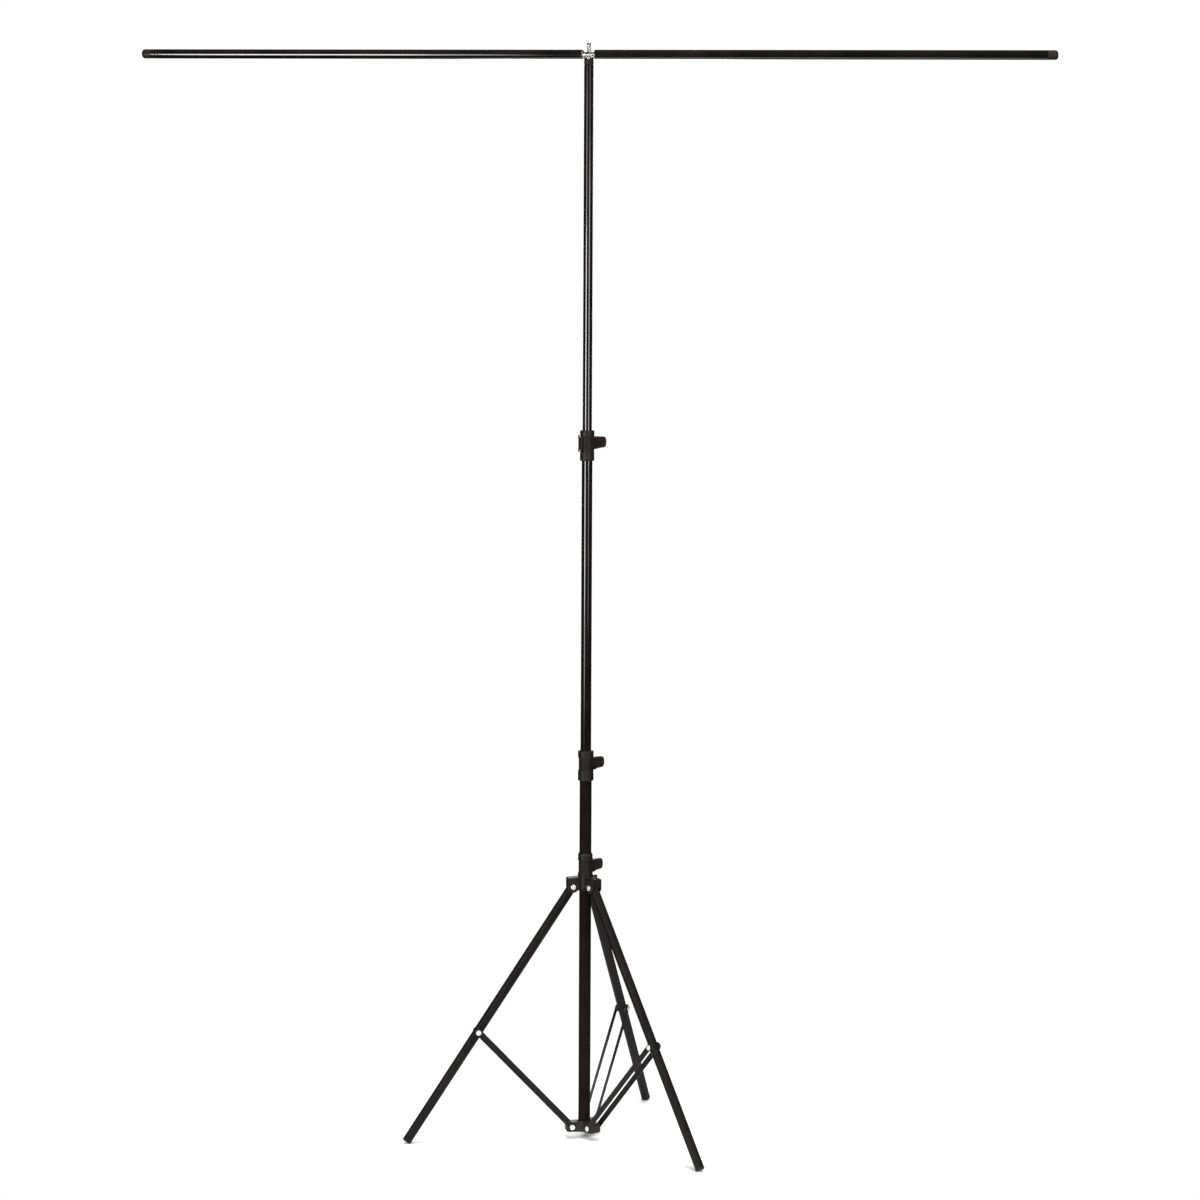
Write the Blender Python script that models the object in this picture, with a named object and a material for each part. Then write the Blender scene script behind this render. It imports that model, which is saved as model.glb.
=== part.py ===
"""A T-shaped backdrop stand: folding three-leg base, three telescoping tubes and a two-piece crossbar.

Metres, +Z up. The origin is on the floor under the column, and the left leg points along -X.
Every size that can be set by itself is a named value below; what fits to it is worked out from it.
"""
import math

import bmesh
import bpy
from mathutils import Matrix, Vector

# Fits
GAP = 0.0003                    # between pieces that touch or slide on each other
RUNNING_GAP = 0.0007            # round the nose of a leg, which turns in its fork

# Column tubes
WALL = 0.0012
BASE_TUBE_RADIUS = 0.0130
MID_TUBE_RADIUS = BASE_TUBE_RADIUS - WALL - GAP
TOP_TUBE_RADIUS = MID_TUBE_RADIUS - WALL - GAP
BASE_TUBE_TOP = 0.8156
MID_TUBE_RISE = 0.6958          # of its upper end above the base tube's, fully drawn out
TOP_TUBE_RISE = 0.8181          # of its upper end above the middle tube's
MID_TUBE_TOP = BASE_TUBE_TOP + MID_TUBE_RISE
TOP_TUBE_TOP = MID_TUBE_TOP + TOP_TUBE_RISE
TUBE_OVERLAP = 0.1300           # of each inner tube inside the one below, fully drawn out
BUSH_FLANGE = 0.0060
BUSH_STEM = 0.0140

# Folding base: pivots, legs and struts
LEG_AZIMUTHS = {"left": 180.0, "rear": 60.0, "front": 300.0}
LEG_RADIUS = 0.0100
PIVOT_CLEARANCE = 0.0050        # between the base tube and the side of a folded leg
PIVOT_RADIUS = BASE_TUBE_RADIUS + PIVOT_CLEARANCE + LEG_RADIUS      # of both rings of pivots
LEG_PIVOT_HEIGHT = 0.5585
STRUT_PIVOT_HEIGHT = 0.0270
LEG_TO_STRUT = 0.3772           # along the leg, from its pivot to the strut's
STRUT_LENGTH = 0.2991           # between the strut's two rivets
STRUT_WIDTH = 0.0130
STRUT_THICKNESS = 0.0016
STRUT_GROOVE_WIDTH = 0.0036
STRUT_GROOVE_DEPTH = 0.0006
STRUT_GROOVE_START = 0.0330     # from each rivet
SADDLE_THICKNESS = 0.0021       # of the washer between leg and strut, at its thinnest
SADDLE_MARGIN = 0.0012          # by which a washer's radius is less than the leg's
SADDLE_RADIUS = LEG_RADIUS - SADDLE_MARGIN
FOOT_LIP = 0.0003               # by which an end plug stands out round its leg
FOOT_RADIUS = LEG_RADIUS + FOOT_LIP
FOOT_FLANGE = 0.0036
FOOT_ROUND = 0.0015
FOOT_STEM = 0.0220

# Rivets
RIVET_RADIUS = 0.0025
RIVET_HEAD_RADIUS = 0.0056
RIVET_HEAD_HEIGHT = 0.0019
RIVET_DIMPLE_RADIUS = 0.0015
RIVET_DIMPLE_DEPTH = 0.0009

# Hubs
HUB_WALL = 0.0028
HUB_HEIGHT = 0.0820
HUB_BELOW_PIVOTS = 0.0085       # from the leg pivots down to the hub's lower end
HUB_BOTTOM = LEG_PIVOT_HEIGHT - HUB_BELOW_PIVOTS
HUB_TOP = HUB_BOTTOM + HUB_HEIGHT
EAR_RIM = 0.0018                # of the ear outside the slot that its leg turns in
EAR_REACH = PIVOT_RADIUS + LEG_RADIUS + RUNNING_GAP + EAR_RIM
EAR_ABOVE_PIVOT = 0.0220
EAR_TOP = LEG_PIVOT_HEIGHT + EAR_ABOVE_PIVOT
EAR_DROP = 0.0030               # how far the top of an ear falls towards its outer end
EAR_CHEEK = 0.0027
LUG_BEYOND_PIVOT = 0.0131
LUG_BELOW_PIVOT = 0.0106
LUG_ABOVE_PIVOT = 0.0115
CUP_ABOVE_LUGS = 0.0015
LUG_REACH = PIVOT_RADIUS + LUG_BEYOND_PIVOT
LUG_BOTTOM = STRUT_PIVOT_HEIGHT - LUG_BELOW_PIVOT
LUG_TOP = STRUT_PIVOT_HEIGHT + LUG_ABOVE_PIVOT
LOWER_HUB_TOP = LUG_TOP + CUP_ABOVE_LUGS
LOWER_HUB_FLOOR = 0.0035
LUG_ROUND = 0.0050

# Lock collars, clamp blocks and knobs
COLLAR_HEIGHT = 0.0655
LOWER_COLLAR_GRIP = 0.0250      # of the collar on the base tube, down from the tube's end
UPPER_COLLAR_GRIP = 0.0265      # of the collar on the middle tube
LOWER_COLLAR_BOTTOM = BASE_TUBE_TOP - LOWER_COLLAR_GRIP
UPPER_COLLAR_BOTTOM = MID_TUBE_TOP - UPPER_COLLAR_GRIP
COLLAR_WALL = 0.0036
COLLAR_CHAMFER = 0.0020
HUB_KNOB_DROP = 0.0299          # of the knob's axis below the hub's upper end
LOWER_KNOB_RISE = 0.0110        # of the knob's axis above the end of the base tube
UPPER_KNOB_RISE = 0.0117        # of the knob's axis above the end of the middle tube
KNOB_HEIGHTS = {"hub": HUB_TOP - HUB_KNOB_DROP, "lower": BASE_TUBE_TOP + LOWER_KNOB_RISE,
                "upper": MID_TUBE_TOP + UPPER_KNOB_RISE}
KNOB_AZIMUTHS = {"hub": 39.5, "lower": 36.5, "upper": 34.5}
BLOCK_HEIGHT = 0.0260
BLOCK_WIDTH = 0.0230
BLOCK_DEPTH = 0.0085            # of the clamp blocks, beyond the base tube's radius
BLOCK_REACH = BASE_TUBE_RADIUS + BLOCK_DEPTH
FLAT_DEPTH = 0.0017             # of the three flats round a sleeve, beside and behind its block
FLAT_MARGIN = 0.0005            # by which the flats are taller than the block, above and below
RIB_HEIGHT = 0.0060             # of the rib on the back of the upper collar, beyond its sleeve
RIB_REACH = MID_TUBE_RADIUS + GAP + COLLAR_WALL + RIB_HEIGHT
RIB_WIDTH = 0.0114
BEAD_RADIUS = 0.0018
BEAD_HEIGHT = 0.0360
SCREW_RADIUS = 0.0040
SCREW_IN_KNOB = 0.0120
INSERT_LENGTH = 0.0050
INSERT_WALL = 0.0018
PAD_THICKNESS = 0.0020
KNOB_LENGTH = 0.0330
KNOB_ROOT_HALF_HEIGHT = 0.0138
KNOB_TIP_HALF_HEIGHT = 0.0114
KNOB_ROOT_HALF_WIDTH = 0.0080
KNOB_TIP_HALF_WIDTH = 0.0052

# Head fitting and crossbar
CROSSBAR_RISE = 0.0215          # of the crossbar's axis above the top tube
CROSSBAR_HEIGHT = TOP_TUBE_TOP + CROSSBAR_RISE
CROSSBAR_HALF_LENGTH = 1.0000
CROSSBAR_AZIMUTH = -22.5
ARM_RADIUS = 0.0100
ARM_WALL = 0.0020
CONNECTOR_WALL = 0.0012
CONNECTOR_INSERTION = 0.0600
CONNECTOR_FLAT_HEIGHT = 0.0095
CONNECTOR_FLAT_MARGIN = 0.0002  # of the flat beyond the top tube, at each side
CONNECTOR_FLAT_HALF_LENGTH = TOP_TUBE_RADIUS + CONNECTOR_FLAT_MARGIN
CONNECTOR_SLOPE = 0.0032        # from the flat to where it is round
ARM_START = CONNECTOR_FLAT_HALF_LENGTH + CONNECTOR_SLOPE        # of each arm from the stud's axis
ARM_CAP_LENGTH = 0.0200
ARM_CAP_STEM = 0.0180
HEAD_PLUG_STEM = 0.0280
HEAD_GROOVE_DEPTH = 0.0045
HEAD_RIM = 0.0012
STUD_RADIUS = 0.0042
STUD_WAIST_RADIUS = 0.0035
STUD_HEAD_HEIGHT = 0.0200       # above the connector
STUD_SHOULDER_RADIUS = 0.0055
STUD_IN_PLUG = 0.0180

ROUND = 28                      # sides of the column tubes, arms, hubs and collars
MID_ROUND = 18                  # sides of the legs, feet, end caps and bushes
SMALL_ROUND = 10                # sides of rivets, screws and their holes
Y_AXIS = Vector((0.0, 1.0, 0.0))


# Angles of the opened base, from its own lengths
def opened_angles():
    """Leg and strut angles from vertical when the hub is down: a triangle with three known sides."""
    span = LEG_PIVOT_HEIGHT - STRUT_PIVOT_HEIGHT
    leg = math.acos((span ** 2 + LEG_TO_STRUT ** 2 - STRUT_LENGTH ** 2) / (2 * span * LEG_TO_STRUT))
    strut = math.asin(LEG_TO_STRUT * math.sin(leg) / STRUT_LENGTH)
    return leg, strut


LEG_ANGLE, STRUT_ANGLE = opened_angles()
FOOT_TOUCH = max((FOOT_RADIUS - FOOT_ROUND) * math.sin(LEG_ANGLE),
                 FOOT_RADIUS * math.sin(LEG_ANGLE) - FOOT_ROUND * math.cos(LEG_ANGLE))
LEG_LENGTH = (LEG_PIVOT_HEIGHT - FOOT_TOUCH) / math.cos(LEG_ANGLE)
LEG_HALF_GAP = LEG_RADIUS + GAP
STRUT_INNER = LEG_RADIUS + GAP + SADDLE_THICKNESS + GAP
STRUT_OUTER = STRUT_INNER + STRUT_THICKNESS
LUG_HALF_WIDTH = STRUT_INNER - GAP
EAR_HALF_WIDTH = LEG_HALF_GAP + EAR_CHEEK
EAR_ROUND = EAR_REACH - PIVOT_RADIUS
RIVET_HOLE = RIVET_RADIUS + GAP + 0.0001
MID_TUBE_BOTTOM = BASE_TUBE_TOP - TUBE_OVERLAP
TOP_TUBE_BOTTOM = MID_TUBE_TOP - TUBE_OVERLAP


# Scene and object helpers
def clear_scene():
    for obj in list(bpy.data.objects):
        bpy.data.objects.remove(obj, do_unlink=True)


def material(name, colour, roughness, metallic):
    mat = bpy.data.materials.new(name)
    mat.use_nodes = True
    shader = mat.node_tree.nodes["Principled BSDF"]
    shader.inputs["Base Color"].default_value = (*colour, 1.0)
    shader.inputs["Roughness"].default_value = roughness
    shader.inputs["Metallic"].default_value = metallic
    return mat


def add_object(name, bm, mat=None, place=None, parent=None):
    """Makes an object of a bmesh, with its faces outward and its round faces smooth."""
    bmesh.ops.recalc_face_normals(bm, faces=bm.faces)
    mesh = bpy.data.meshes.new(name)
    bm.to_mesh(mesh)
    bm.free()
    mesh.shade_smooth()
    mesh.set_sharp_from_angle(angle=math.radians(35))
    obj = bpy.data.objects.new(name, mesh)
    bpy.context.scene.collection.objects.link(obj)
    if mat:
        mesh.materials.append(mat)
    if parent:
        obj.parent = parent
    if place:
        obj.matrix_local = place
    return obj


def hide(obj):
    obj.hide_render = True
    obj.display_type = "WIRE"
    return obj


def joint_empty(name, place, parent=None):
    obj = bpy.data.objects.new(name, None)
    bpy.context.scene.collection.objects.link(obj)
    obj.empty_display_size = 0.03
    if parent:
        obj.parent = parent
    obj.matrix_local = place
    return obj


def combine(obj, tools, operation):
    """Adds one exact Boolean for each hidden tool object."""
    for tool in tools:
        mod = obj.modifiers.new(tool.name, "BOOLEAN")
        mod.operation = operation
        mod.solver = "EXACT"
        mod.object = hide(tool)
    return obj


# Shape helpers
def turned(profile, sides=ROUND):
    """Revolves a profile of (radius, height) points about Z; ends on the axis close by themselves."""
    bm = bmesh.new()
    verts = [bm.verts.new((r, 0.0, z)) for r, z in profile]
    pairs = list(zip(verts, verts[1:]))
    if profile[0][0] > 0.0 or profile[-1][0] > 0.0:
        pairs.append((verts[-1], verts[0]))
    edges = [bm.edges.new(pair) for pair in pairs]
    bmesh.ops.spin(bm, geom=verts + edges, cent=(0, 0, 0), axis=(0, 0, 1), angle=2 * math.pi,
                   steps=sides, use_merge=True)
    bmesh.ops.remove_doubles(bm, verts=bm.verts, dist=1e-6)
    return bm


def pipe(outer, inner, bottom, top, sides=ROUND):
    return turned([(outer, bottom), (outer, top), (inner, top), (inner, bottom)], sides)


def rod(radius, bottom, top, sides=SMALL_ROUND):
    return turned([(0.0, bottom), (radius, bottom), (radius, top), (0.0, top)], sides)


def plate(outline, half_width, chamfer=0.0):
    """Extrudes an outline in the X-Z plane to both sides along Y, with its two rims chamfered."""
    bm = bmesh.new()
    face = bm.faces.new([bm.verts.new((x, -half_width, z)) for x, z in outline])
    made = bmesh.ops.extrude_face_region(bm, geom=[face])
    moved = [item for item in made["geom"] if isinstance(item, bmesh.types.BMVert)]
    bmesh.ops.translate(bm, verts=moved, vec=(0.0, 2 * half_width, 0.0))
    if chamfer:
        rims = [e for e in bm.edges if abs(e.verts[0].co.y - e.verts[1].co.y) < 1e-7]
        bmesh.ops.bevel(bm, geom=rims, offset=chamfer, segments=1, affect="EDGES")
    return bm


def arc(centre, radius, start, end, steps):
    """Points of an arc in degrees, both ends included."""
    points = []
    for i in range(steps + 1):
        angle = math.radians(start + (end - start) * i / steps)
        points.append((centre[0] + radius * math.cos(angle), centre[1] + radius * math.sin(angle)))
    return points


def turn_z(degrees):
    return Matrix.Rotation(math.radians(degrees), 4, "Z")


def along_y(x, z):
    """Turns a piece made along Z to lie along Y, through the point (x, 0, z)."""
    return Matrix.Translation((x, 0.0, z)) @ Matrix.Rotation(math.radians(-90), 4, "X")


def along_x(z):
    """Turns a piece made along Z to lie along X, at height z."""
    return Matrix.Translation((0.0, 0.0, z)) @ Matrix.Rotation(math.radians(90), 4, "Y")


# Materials
def make_materials():
    return {
        "gloss_black": material("gloss_black_tube", (0.012, 0.012, 0.013), 0.16, 0.0),
        "satin_black": material("satin_black_steel", (0.014, 0.013, 0.013), 0.38, 0.0),
        "plastic": material("black_moulded_plastic", (0.022, 0.021, 0.021), 0.48, 0.0),
        "nylon": material("black_nylon", (0.016, 0.016, 0.016), 0.55, 0.0),
        "rubber": material("black_rubber", (0.018, 0.018, 0.018), 0.70, 0.0),
        "nickel": material("bright_nickel_rivet", (0.80, 0.79, 0.77), 0.22, 1.0),
        "chrome": material("chrome", (0.75, 0.76, 0.78), 0.10, 1.0),
        "steel": material("zinc_plated_screw", (0.52, 0.53, 0.55), 0.35, 1.0),
        "brass": material("brass_insert", (0.60, 0.46, 0.20), 0.35, 1.0),
    }


# Column
def bush(name, radius, bore, bottom, mat, parent):
    """Plastic end bush: a flange as wide as its tube, a stem inside it and an open middle."""
    stem = bore - GAP
    hole = stem - 0.0025
    flange_top = bottom - GAP
    profile = [(hole, flange_top - BUSH_FLANGE), (radius, flange_top - BUSH_FLANGE),
               (radius, flange_top), (stem, flange_top), (stem, flange_top + BUSH_STEM),
               (hole, flange_top + BUSH_STEM)]
    return add_object(name, turned(profile, MID_ROUND), mat, parent=parent)


def column_tubes(mats):
    """The three round tubes, each with the bush that guides its lower end."""
    seat = LUG_BOTTOM + LOWER_HUB_FLOOR
    add_object("base_tube", pipe(BASE_TUBE_RADIUS, BASE_TUBE_RADIUS - WALL, seat + GAP, BASE_TUBE_TOP),
               mats["satin_black"])
    mid_slide = joint_empty("mid_tube_slide", Matrix.Identity(4))
    top_slide = joint_empty("top_tube_slide", Matrix.Identity(4), mid_slide)
    mid_bore = MID_TUBE_RADIUS - WALL
    top_bore = TOP_TUBE_RADIUS - WALL
    add_object("mid_tube", pipe(MID_TUBE_RADIUS, mid_bore, MID_TUBE_BOTTOM, MID_TUBE_TOP),
               mats["gloss_black"], parent=mid_slide)
    add_object("top_tube", pipe(TOP_TUBE_RADIUS, top_bore, TOP_TUBE_BOTTOM, TOP_TUBE_TOP),
               mats["gloss_black"], parent=top_slide)
    bush("mid_tube_bush", MID_TUBE_RADIUS, mid_bore, MID_TUBE_BOTTOM, mats["nylon"], mid_slide)
    bush("top_tube_bush", TOP_TUBE_RADIUS, top_bore, TOP_TUBE_BOTTOM, mats["nylon"], top_slide)
    return mid_slide, top_slide


# Clamp block, screw, pad and knob
def block_tool(key, suffix="block", start=0.0, end=BLOCK_REACH, width=BLOCK_WIDTH):
    """A moulded block as tall as the knob's: the knob's own, or the rib behind the upper collar."""
    z0 = KNOB_HEIGHTS[key] - BLOCK_HEIGHT / 2
    z1 = KNOB_HEIGHTS[key] + BLOCK_HEIGHT / 2
    outline = [(start, z0), (end, z0), (end, z1), (start, z1)]
    return add_object(f"{key}_{suffix}", plate(outline, width / 2, 0.0012), place=turn_z(KNOB_AZIMUTHS[key]))


def flat_tools(key, outer):
    """Boxes that cut three shallow flats into a sleeve, beside and behind the knob's block."""
    z0 = KNOB_HEIGHTS[key] - BLOCK_HEIGHT / 2 - FLAT_MARGIN
    z1 = KNOB_HEIGHTS[key] + BLOCK_HEIGHT / 2 + FLAT_MARGIN
    start = outer - FLAT_DEPTH
    outline = [(start, z0), (outer + 0.005, z0), (outer + 0.005, z1), (start, z1)]
    turns = {"side": -90, "back": 180, "far_side": 90}
    return [add_object(f"{key}_{side}_flat", plate(outline, outer), place=turn_z(KNOB_AZIMUTHS[key] + turn))
            for side, turn in turns.items()]


def screw_hole_tools(key):
    """A hole for screw and pad from the bore outward, and a wider one for the threaded insert."""
    place = turn_z(KNOB_AZIMUTHS[key]) @ along_x(KNOB_HEIGHTS[key])
    end = BLOCK_REACH + 0.005
    hole = rod(SCREW_RADIUS + GAP, 0.0, end, 16)
    seat = rod(SCREW_RADIUS + INSERT_WALL + 2 * GAP, BLOCK_REACH - INSERT_LENGTH - GAP, end, 16)
    return [add_object(key + "_hole", hole, place=place), add_object(key + "_seat", seat, place=place)]


def knob_half_sizes(share):
    """Half height and half width of the knob at a share of its length, rounded off at both ends."""
    height = KNOB_ROOT_HALF_HEIGHT + (KNOB_TIP_HALF_HEIGHT - KNOB_ROOT_HALF_HEIGHT) * share
    ease = math.sin(share * math.pi / 2)
    width = KNOB_ROOT_HALF_WIDTH + (KNOB_TIP_HALF_WIDTH - KNOB_ROOT_HALF_WIDTH) * ease
    tip = max(0.0, (share - 0.82) / 0.18)
    root = max(0.0, (0.06 - share) / 0.06)
    drop = math.sqrt(max(0.0, 1.0 - (0.86 * tip) ** 2)) * (1.0 - 0.07 * root)
    return height * drop, width * drop


def knob_mesh(start):
    """A tapered thumb paddle: superellipse sections whose flat sides are hollowed for the fingers."""
    shares = [0.0, 0.06, 0.25, 0.45, 0.65, 0.82, 0.93, 1.0]
    around = MID_ROUND
    bm = bmesh.new()
    rings = []
    for share in shares:
        high, wide = knob_half_sizes(share)
        hollow = 0.34 * math.sin(math.pi * min(1.0, max(0.0, (share - 0.10) / 0.80)))
        ring = []
        for i in range(around):
            angle = 2 * math.pi * i / around
            c, s = math.cos(angle), math.sin(angle)
            z = high * math.copysign(abs(s) ** 0.72, s)
            y = wide * math.copysign(abs(c) ** 0.60, c) * (1.0 - hollow * (1.0 - (z / high) ** 2) ** 2)
            ring.append(bm.verts.new((start + share * KNOB_LENGTH, y, z)))
        rings.append(ring)
    for a, b in zip(rings, rings[1:]):
        for i in range(around):
            j = (i + 1) % around
            bm.faces.new((a[i], a[j], b[j], b[i]))
    bm.faces.new(rings[0])
    bm.faces.new(rings[-1])
    return bm


def knob_set(key, tube_radius, mats, parent):
    """Knob, its moulded-in screw, the pad that presses on the tube and the threaded insert."""
    frame = turn_z(KNOB_AZIMUTHS[key]) @ Matrix.Translation((0.0, 0.0, KNOB_HEIGHTS[key]))
    slide = joint_empty(key + "_pad_slide", frame, parent)
    pad_start = tube_radius + GAP
    pad_end = pad_start + PAD_THICKNESS
    screw_start = pad_end + GAP
    knob_start = BLOCK_REACH + GAP
    screw_end = knob_start + SCREW_IN_KNOB
    lie = Matrix.Rotation(math.radians(90), 4, "Y")
    add_object(key + "_pad", rod(SCREW_RADIUS, pad_start, pad_end), mats["brass"], lie, slide)
    knob = add_object(key + "_knob", knob_mesh(knob_start), mats["plastic"], parent=slide)
    pocket = add_object(key + "_pocket", rod(SCREW_RADIUS + GAP, knob_start - 0.001, screw_end + GAP, 16),
                        place=lie, parent=slide)
    combine(knob, [pocket], "DIFFERENCE")
    tip = SCREW_RADIUS - 0.0008
    screw = turned([(0.0, screw_start), (tip, screw_start), (SCREW_RADIUS, screw_start + 0.0008),
                    (SCREW_RADIUS, screw_end), (0.0, screw_end)], SMALL_ROUND)
    add_object(key + "_screw", screw, mats["steel"], lie, slide)
    insert = pipe(SCREW_RADIUS + INSERT_WALL + GAP, SCREW_RADIUS + GAP, BLOCK_REACH - INSERT_LENGTH,
                  BLOCK_REACH, SMALL_ROUND)
    add_object(key + "_insert", insert, mats["brass"], frame @ lie, parent)


# Lock collars
def collar_profile(outer, bottom, top, chamfer, rings):
    """The outside of a sleeve with chamfered ends and shallow ring grooves, solid to the axis."""
    groove = 0.0006
    profile = [(0.0, bottom), (outer - chamfer, bottom), (outer, bottom + chamfer)]
    for z in rings:
        profile += [(outer, z - groove), (outer - groove, z), (outer, z + groove)]
    return profile + [(outer, top - chamfer), (outer - chamfer, top), (0.0, top)]


def stepped_bore(name, low_radius, high_radius, bottom, step, top):
    """A cutter along the column whose radius changes at the step, 10 mm longer than its sleeve."""
    profile = [(0.0, bottom - 0.01), (low_radius, bottom - 0.01), (low_radius, step), (high_radius, step),
               (high_radius, top + 0.01), (0.0, top + 0.01)]
    return add_object(name, turned(profile))


def lock_collar(key, tube_radius, inner_radius, bottom, tube_top, mats, parent, ribbed=False):
    """The collar at the top of a tube, with the block whose knob clamps the tube that slides in it."""
    outer = tube_radius + GAP + COLLAR_WALL
    top = bottom + COLLAR_HEIGHT
    rings = [bottom + 0.0075, KNOB_HEIGHTS[key] + BLOCK_HEIGHT / 2 + 0.0030]
    body = turned(collar_profile(outer, bottom, top, COLLAR_CHAMFER, rings))
    obj = add_object(key + "_collar", body, mats["plastic"], parent=parent)
    combine(obj, flat_tools(key, outer), "DIFFERENCE")
    adds = [block_tool(key)]
    if ribbed:
        adds += [block_tool(key, "rib", -RIB_REACH, -inner_radius / 2, RIB_WIDTH), bead_tool(key)]
    combine(obj, adds, "UNION")
    bore = stepped_bore(key + "_bore", tube_radius + GAP, inner_radius + GAP, bottom, tube_top + GAP, top)
    combine(obj, [bore] + screw_hole_tools(key), "DIFFERENCE")
    return obj


def bead_tool(key):
    """A round bead down the far corner of the rib, standing past its two ends."""
    half = BEAD_HEIGHT / 2
    inset = 0.0012
    corner = Matrix.Translation((inset - RIB_REACH, RIB_WIDTH / 2 - inset, KNOB_HEIGHTS[key]))
    return add_object(key + "_bead", rod(BEAD_RADIUS, -half, half), place=turn_z(KNOB_AZIMUTHS[key]) @ corner)


# Hubs of the folding base
def ear_outline():
    """Side view of an ear: round about the leg's pivot below, sloping on top."""
    pivot = (PIVOT_RADIUS, LEG_PIVOT_HEIGHT)
    inner = BASE_TUBE_RADIUS + GAP + 0.0010
    outline = [(inner, EAR_TOP), (inner, HUB_BOTTOM)]
    outline += arc(pivot, EAR_ROUND, 219.0, 360.0, 7)
    outline += [(EAR_REACH, EAR_TOP - EAR_DROP - 0.0020), (EAR_REACH - 0.0030, EAR_TOP - EAR_DROP)]
    return outline


def fork_outline():
    """Side view of the slot that a leg turns in: round over its nose, open below and outward."""
    pivot = (PIVOT_RADIUS, LEG_PIVOT_HEIGHT)
    radius = LEG_RADIUS + RUNNING_GAP
    lean = math.degrees(LEG_ANGLE)
    outline = arc(pivot, radius, 180.0, lean, 8)
    run = 0.016
    last = outline[-1]
    outline.append((last[0] + run * math.sin(LEG_ANGLE), last[1] - run * math.cos(LEG_ANGLE)))
    outline += [(EAR_REACH + 0.012, HUB_BOTTOM - 0.012), (PIVOT_RADIUS - radius, HUB_BOTTOM - 0.012)]
    return outline


def upper_hub(mats, parent):
    """The sliding hub: one moulding with three forked ears, a sleeve and its own lock block."""
    outer = BASE_TUBE_RADIUS + GAP + HUB_WALL
    bore = BASE_TUBE_RADIUS + GAP
    neck = outer - 0.0022
    groove = HUB_TOP - 0.0088
    profile = [(0.0, HUB_BOTTOM), (outer, HUB_BOTTOM), (outer, groove - 0.0006), (outer - 0.0006, groove),
               (outer, groove + 0.0006), (outer, HUB_TOP - 0.0050), (neck, HUB_TOP), (0.0, HUB_TOP)]
    hub = add_object("upper_hub", turned(profile), mats["plastic"], parent=parent)
    adds = []
    cuts = [add_object("upper_hub_bore", rod(bore, HUB_BOTTOM - 0.01, HUB_TOP + 0.01, ROUND))]
    for name, azimuth in LEG_AZIMUTHS.items():
        turn = turn_z(azimuth)
        adds.append(add_object(name + "_ear", plate(ear_outline(), EAR_HALF_WIDTH, 0.0009), place=turn))
        cuts.append(add_object(name + "_fork", plate(fork_outline(), LEG_HALF_GAP), place=turn))
        hole = rod(RIVET_HOLE, -EAR_HALF_WIDTH - 0.002, EAR_HALF_WIDTH + 0.002)
        pivot = turn @ along_y(PIVOT_RADIUS, LEG_PIVOT_HEIGHT)
        cuts.append(add_object(name + "_ear_hole", hole, place=pivot))
    adds.append(block_tool("hub"))
    combine(hub, flat_tools("hub", outer), "DIFFERENCE")
    combine(hub, adds, "UNION")
    combine(hub, cuts + screw_hole_tools("hub"), "DIFFERENCE")
    return hub


def lug_outline():
    """Side view of a lug of the lower hub, with its two outer corners rounded."""
    inner = BASE_TUBE_RADIUS + GAP + 0.0010
    low = arc((LUG_REACH - LUG_ROUND, LUG_BOTTOM + LUG_ROUND), LUG_ROUND, 270.0, 360.0, 4)
    high = arc((LUG_REACH - LUG_ROUND, LUG_TOP - LUG_ROUND), LUG_ROUND, 0.0, 90.0, 4)
    return [(inner, LUG_BOTTOM)] + low + high + [(inner, LUG_TOP)]


def lower_hub(mats):
    """The fixed hub: a cup for the base tube with three solid lugs that the struts straddle."""
    outer = BASE_TUBE_RADIUS + GAP + HUB_WALL
    bore = BASE_TUBE_RADIUS + GAP
    seat = LUG_BOTTOM + LOWER_HUB_FLOOR
    drain = 0.0050
    profile = [(0.0, LUG_BOTTOM), (outer - 0.0010, LUG_BOTTOM), (outer, LUG_BOTTOM + 0.0010),
               (outer, LOWER_HUB_TOP - 0.0010), (outer - 0.0010, LOWER_HUB_TOP), (0.0, LOWER_HUB_TOP)]
    hub = add_object("lower_hub", turned(profile), mats["plastic"])
    adds = []
    cuts = [stepped_bore("lower_hub_bore", drain, bore, LUG_BOTTOM, seat, LOWER_HUB_TOP)]
    for name, azimuth in LEG_AZIMUTHS.items():
        turn = turn_z(azimuth)
        adds.append(add_object(name + "_lug", plate(lug_outline(), LUG_HALF_WIDTH, 0.0009), place=turn))
        hole = rod(RIVET_HOLE, -LUG_HALF_WIDTH - 0.002, LUG_HALF_WIDTH + 0.002)
        pivot = turn @ along_y(PIVOT_RADIUS, STRUT_PIVOT_HEIGHT)
        cuts.append(add_object(name + "_lug_hole", hole, place=pivot))
    combine(hub, adds, "UNION")
    combine(hub, cuts, "DIFFERENCE")
    return hub


# Rivets
def rivet_head(seat, side):
    """Points of a domed head with a dimple, from its rim at the seat to the axis."""
    dome = seat + side * RIVET_HEAD_HEIGHT
    return [(RIVET_HEAD_RADIUS, seat), (RIVET_HEAD_RADIUS, seat + side * 0.0006),
            (RIVET_HEAD_RADIUS * 0.7, seat + side * RIVET_HEAD_HEIGHT * 0.85),
            (RIVET_DIMPLE_RADIUS, dome), (0.0, dome - side * RIVET_DIMPLE_DEPTH)]


def through_rivet(half_grip):
    """A rivet along Z that holds a stack of plates, with a head at each side."""
    low = rivet_head(-half_grip - GAP, -1.0)
    high = rivet_head(half_grip + GAP, 1.0)
    shank = [(RIVET_RADIUS, -half_grip - GAP), (RIVET_RADIUS, half_grip + GAP)]
    return turned(low[::-1] + shank + high, SMALL_ROUND)


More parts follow.
